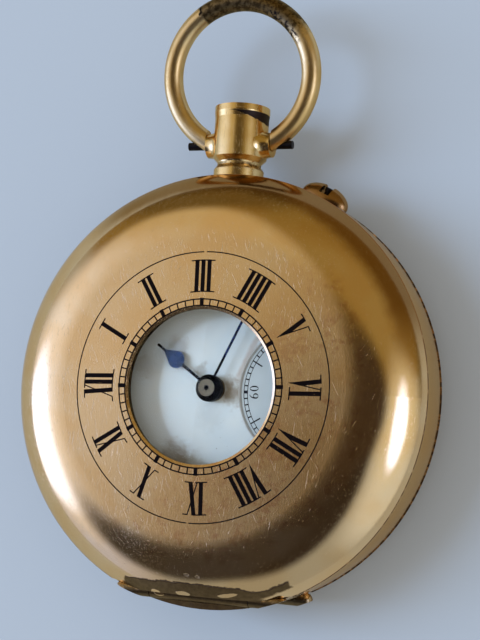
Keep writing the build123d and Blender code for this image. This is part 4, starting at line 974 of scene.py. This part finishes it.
dialMarks = {
    "top": 11.0,
    "numerals": (14.2, 18.35),
    "track": (18.95, 19.65),
    "line": 0.07,
    "minuteTick": 0.09,
    "hourTick": 0.36,
    "hourUnder": 0.1,
}
secondsMarks = {
    "centre": (10.8, 0.0),
    "top": 10.65,
    "clear": 7.95,                   # the dial's numerals keep out of this radius
    "track": (6.72, 7.16),
    "line": 0.075,
    "steps": 120,
    "tick": 0.15,
    "fiveFrom": 5.85,                # where the ticks between the figures start
    "turn": 181.4,
    "bar": 0.34,
    "digitRadius": 5.95,
    "digitHeight": 1.05,
    "words": ("60", "10", "20", "30", "40", "50"),
}


def makeDialPrint():
    spec = dialMarks
    shape = bmesh.new()
    addRomans(shape, (0, 0), *spec["numerals"], 0.0, ("VI",), (secondsMarks["centre"], secondsMarks["clear"]))
    low, high = spec["track"]
    for radius in spec["track"]:
        addRing(shape, (0, 0), radius - spec["line"] / 2, radius + spec["line"] / 2)
    minutes, hours = parted([6 * i for i in range(60)])
    addTicks(shape, (0, 0), low, high, spec["minuteTick"], minutes)
    addTicks(shape, (0, 0), low - spec["hourUnder"], high, spec["hourTick"], hours)
    layMarks("dial_print", shape, lambda x, y: spec["top"], "print", "case")


def makeSecondsPrint():
    spec = secondsMarks
    centre = spec["centre"]
    shape = bmesh.new()
    low, high = spec["track"]
    for radius in spec["track"]:
        addRing(shape, centre, radius - spec["line"] / 2, radius + spec["line"] / 2, steps=spec["steps"])
    ones, fives = parted([spec["turn"] - 6 * i for i in range(60)])
    addTicks(shape, centre, low, high, spec["tick"], ones)
    addTicks(shape, centre, spec["fiveFrom"], high, spec["tick"], fives[1::2])
    addTicks(shape, centre, low, high, spec["bar"], fives[::2])
    for bearing, word in zip(fives[::2], spec["words"]):
        addDigits(shape, centre, bearing, spec["digitRadius"], spec["digitHeight"], word)
    layMarks("seconds_print", shape, lambda x, y: spec["top"], "print", "case")


secondsEdge = {                      # the soft fired edge where the seconds dial is let in
    "outer": 7.69,
    "inner": 7.45,
    "high": 10.985,
    "low": 10.655,
    "bends": (0.0, 0.5, 0.9, 1.2, pi / 2),
    "bulge": 0.9,
    "topShare": 0.999,
    "steps": 120,
}


def makeSecondsEdge():
    spec = secondsEdge
    shape = bmesh.new()
    width, height = spec["outer"] - spec["inner"], spec["high"] - spec["low"]
    rise = [1 - cos(bend) for bend in spec["bends"]]
    corners = [(spec["inner"] + width * r, spec["low"] + height * r ** spec["bulge"] * spec["topShare"])
               for r in rise]
    corners.append((spec["outer"], spec["low"]))
    middle = secondsMarks["centre"][0]
    profile = shape.faces.new([shape.verts.new(((middle + r) * mm, 0.0, z * mm)) for r, z in corners])
    edges = list(profile.edges)
    verts = list(profile.verts)
    bmesh.ops.delete(shape, geom=[profile], context="FACES_ONLY")
    bmesh.ops.spin(shape, geom=verts + edges, cent=(middle * mm, 0.0, 0.0), axis=(0, 0, 1), angle=2 * pi,
                   steps=spec["steps"], use_merge=True)
    bmesh.ops.recalc_face_normals(shape, faces=shape.faces)
    piece = newPiece("seconds_dial_edge", shape, "edge", "case")
    for face in piece.data.polygons:
        face.use_smooth = True


makeLidMarks()
makeDialPrint()
makeSecondsPrint()
makeSecondsEdge()
print("dials printed")


# Stage, lamp and camera

stage = {                            # floor in metres, its fade to the backdrop in millimetres
    "floorSize": 6.0,
    "floorColour": rgb(177, 191, 211),
    "floorFades": (250.0, 900.0),
    "backdrop": rgb(174, 187, 207),
    "fillColour": (0.74, 0.655, 0.54, 1.0),        # light that fills the shadows and isn't mirrored
}


def makeFloor():
    finish, bench = newFinish("floorPaper")
    x, y, z = bench.parts(bench.place())
    away = bench.step(bench.far(x, y), *stage["floorFades"])
    paper = bench.node("ShaderNodeBsdfDiffuse", {}, {"Color": stage["floorColour"]})
    plain = bench.node("ShaderNodeEmission", {}, {"Color": stage["backdrop"], "Strength": 1.0})
    seen = bench.ray("Camera", "Glossy", "Transmission")
    mixed = bench.node("ShaderNodeMixShader", {}, {0: away * seen, 1: paper, 2: plain})
    bench.node("ShaderNodeOutputMaterial", {}, {"Surface": mixed})
    shape = bmesh.new()
    bmesh.ops.create_grid(shape, x_segments=1, y_segments=1, size=stage["floorSize"] / 2)
    floor = meshObject("floor", shape, finish)


room = {                             # what the gold mirrors, each card over the ones before it
    "base": (0.36, 0.42, 0.50, 1.0),
    "cards": {                       # place and half size in degrees from overhead, softness and colour
        "warmWall": ((30, 92), (120, 88), 0.05, (0.25, 0.19, 0.065, 1.0)),
        "warmGlow": ((30, 32), (36, 20), 0.5, (0.31, 0.25, 0.11, 1.0)),
        "tanWall": ((-34, 20), (28, 32), 0.25, (0.56, 0.52, 0.38, 1.0)),
        "shelf": ((-35, 78), (36, 28), 0.3, (0.13, 0.10, 0.04, 1.0)),
        "darkTop": ((20, 106), (55, 12), 0.3, (0.06, 0.05, 0.03, 1.0)),
        "paleSide": ((-84, -50), (42, 34), 0.35, (0.56, 0.70, 1.25, 1.0)),
        "leftWall": ((-122, 10), (34, 110), 0.15, (0.50, 0.64, 1.20, 1.0)),
        "leftHalo": ((-62, -4), (30, 35), 0.5, (0.98, 1.16, 1.75, 1.0)),
        "rightTable": ((62, -40), (26, 32), 0.5, (0.70, 0.84, 1.08, 1.0)),
        "rightHalo": ((62, -8), (22, 24), 0.6, (0.80, 0.85, 0.80, 1.0)),
        "rightLimb": ((96, 38), (14, 40), 0.4, (0.14, 0.13, 0.08, 1.0)),
        "darkMiddle": ((2, -25), (29, 37), 0.2, (0.035, 0.03, 0.03, 1.0)),
        "darkUpper": ((13, 0), (26, 17), 0.3, (0.05, 0.04, 0.035, 1.0)),
        "darkLeft": ((-24, -35), (30, 24), 0.28, (0.05, 0.05, 0.06, 1.0)),
        "leftWindow": ((-72, -11), (20, 22), 0.25, (1.7, 2.4, 5.2, 1.0)),
        "rightWindow": ((61, -10), (9.5, 17), 0.35, (2.3, 3.0, 6.0, 1.0)),
    },
    "least": 0.0001,                 # keeps the division off zero straight overhead
}


def makeRoom():
    world = bpy.data.worlds.new("room")
    world.use_nodes = True
    bpy.context.scene.world = world
    bench = Bench(world.node_tree)
    x, y, z = bench.parts(bench.node("ShaderNodeTexCoord", out="Generated"))
    fromTop = bench.node("ShaderNodeMath", {"operation": "ARCCOSINE"}, {0: z}) * (180 / pi)
    flat = bench.far(x, y).math("MAXIMUM", room["least"])
    across, up = fromTop * x / flat, fromTop * y / flat
    colour = room["base"]
    for at, half, soft, tint in room["cards"].values():
        away = bench.far((across - at[0]) * (1 / half[0]), (up - at[1]) * (1 / half[1]))
        colour = bench.mix(bench.edge(away, 1, -soft), colour, tint)
    colour = bench.mix(bench.ray("Glossy"), stage["fillColour"], colour)
    colour = bench.mix(bench.ray("Camera", "Transmission"), colour, stage["backdrop"])
    light = bench.node("ShaderNodeBackground", {}, {"Color": colour, "Strength": 1.0})
    bench.node("ShaderNodeOutputWorld", {}, {"Surface": light})
    world.cycles.sampling_method = "NONE"


lampSet = {                          # one window on the left, in metres and watts
    "place": (-0.93, 0.06, 0.90),
    "size": (0.50, 1.10),
    "power": 9.2,
    "colour": (0.76, 1.0, 1.28),
}


def makeLamp():
    lamp = bpy.data.lights.new("windowLight", "AREA")
    lamp.shape = "RECTANGLE"
    lamp.size, lamp.size_y = lampSet["size"]
    lamp.energy = lampSet["power"]
    lamp.color = lampSet["colour"]
    holder = newObject("windowLight", lamp)
    holder.location = lampSet["place"]
    holder.rotation_euler = Vector(lampSet["place"]).to_track_quat("Z", "Y").to_euler()
    holder.visible_glossy = False                  # the gold mirrors the room's windows instead


cameraSet = {                        # place in metres, turn in degrees, lens and sensor in millimetres
    "place": (0.059762, -0.007244, 0.159600),
    "turn": (6.891, 20.607, 3.995),
    "lens": 78.75,
    "sensor": 36.0,
    "near": 0.01,
    "far": 50.0,
}


def makeCamera():
    lens = bpy.data.cameras.new("viewCamera")
    lens.lens = cameraSet["lens"]
    lens.sensor_width = cameraSet["sensor"]
    lens.clip_start = cameraSet["near"]
    lens.clip_end = cameraSet["far"]
    holder = newObject("viewCamera", lens)
    holder.location = cameraSet["place"]
    holder.rotation_euler = [radians(a) for a in cameraSet["turn"]]
    bpy.context.scene.camera = holder


makeFloor()
makeRoom()
makeLamp()
makeCamera()
bpy.context.scene.view_settings.view_transform = "Standard"
print("stage, lamp and camera set")
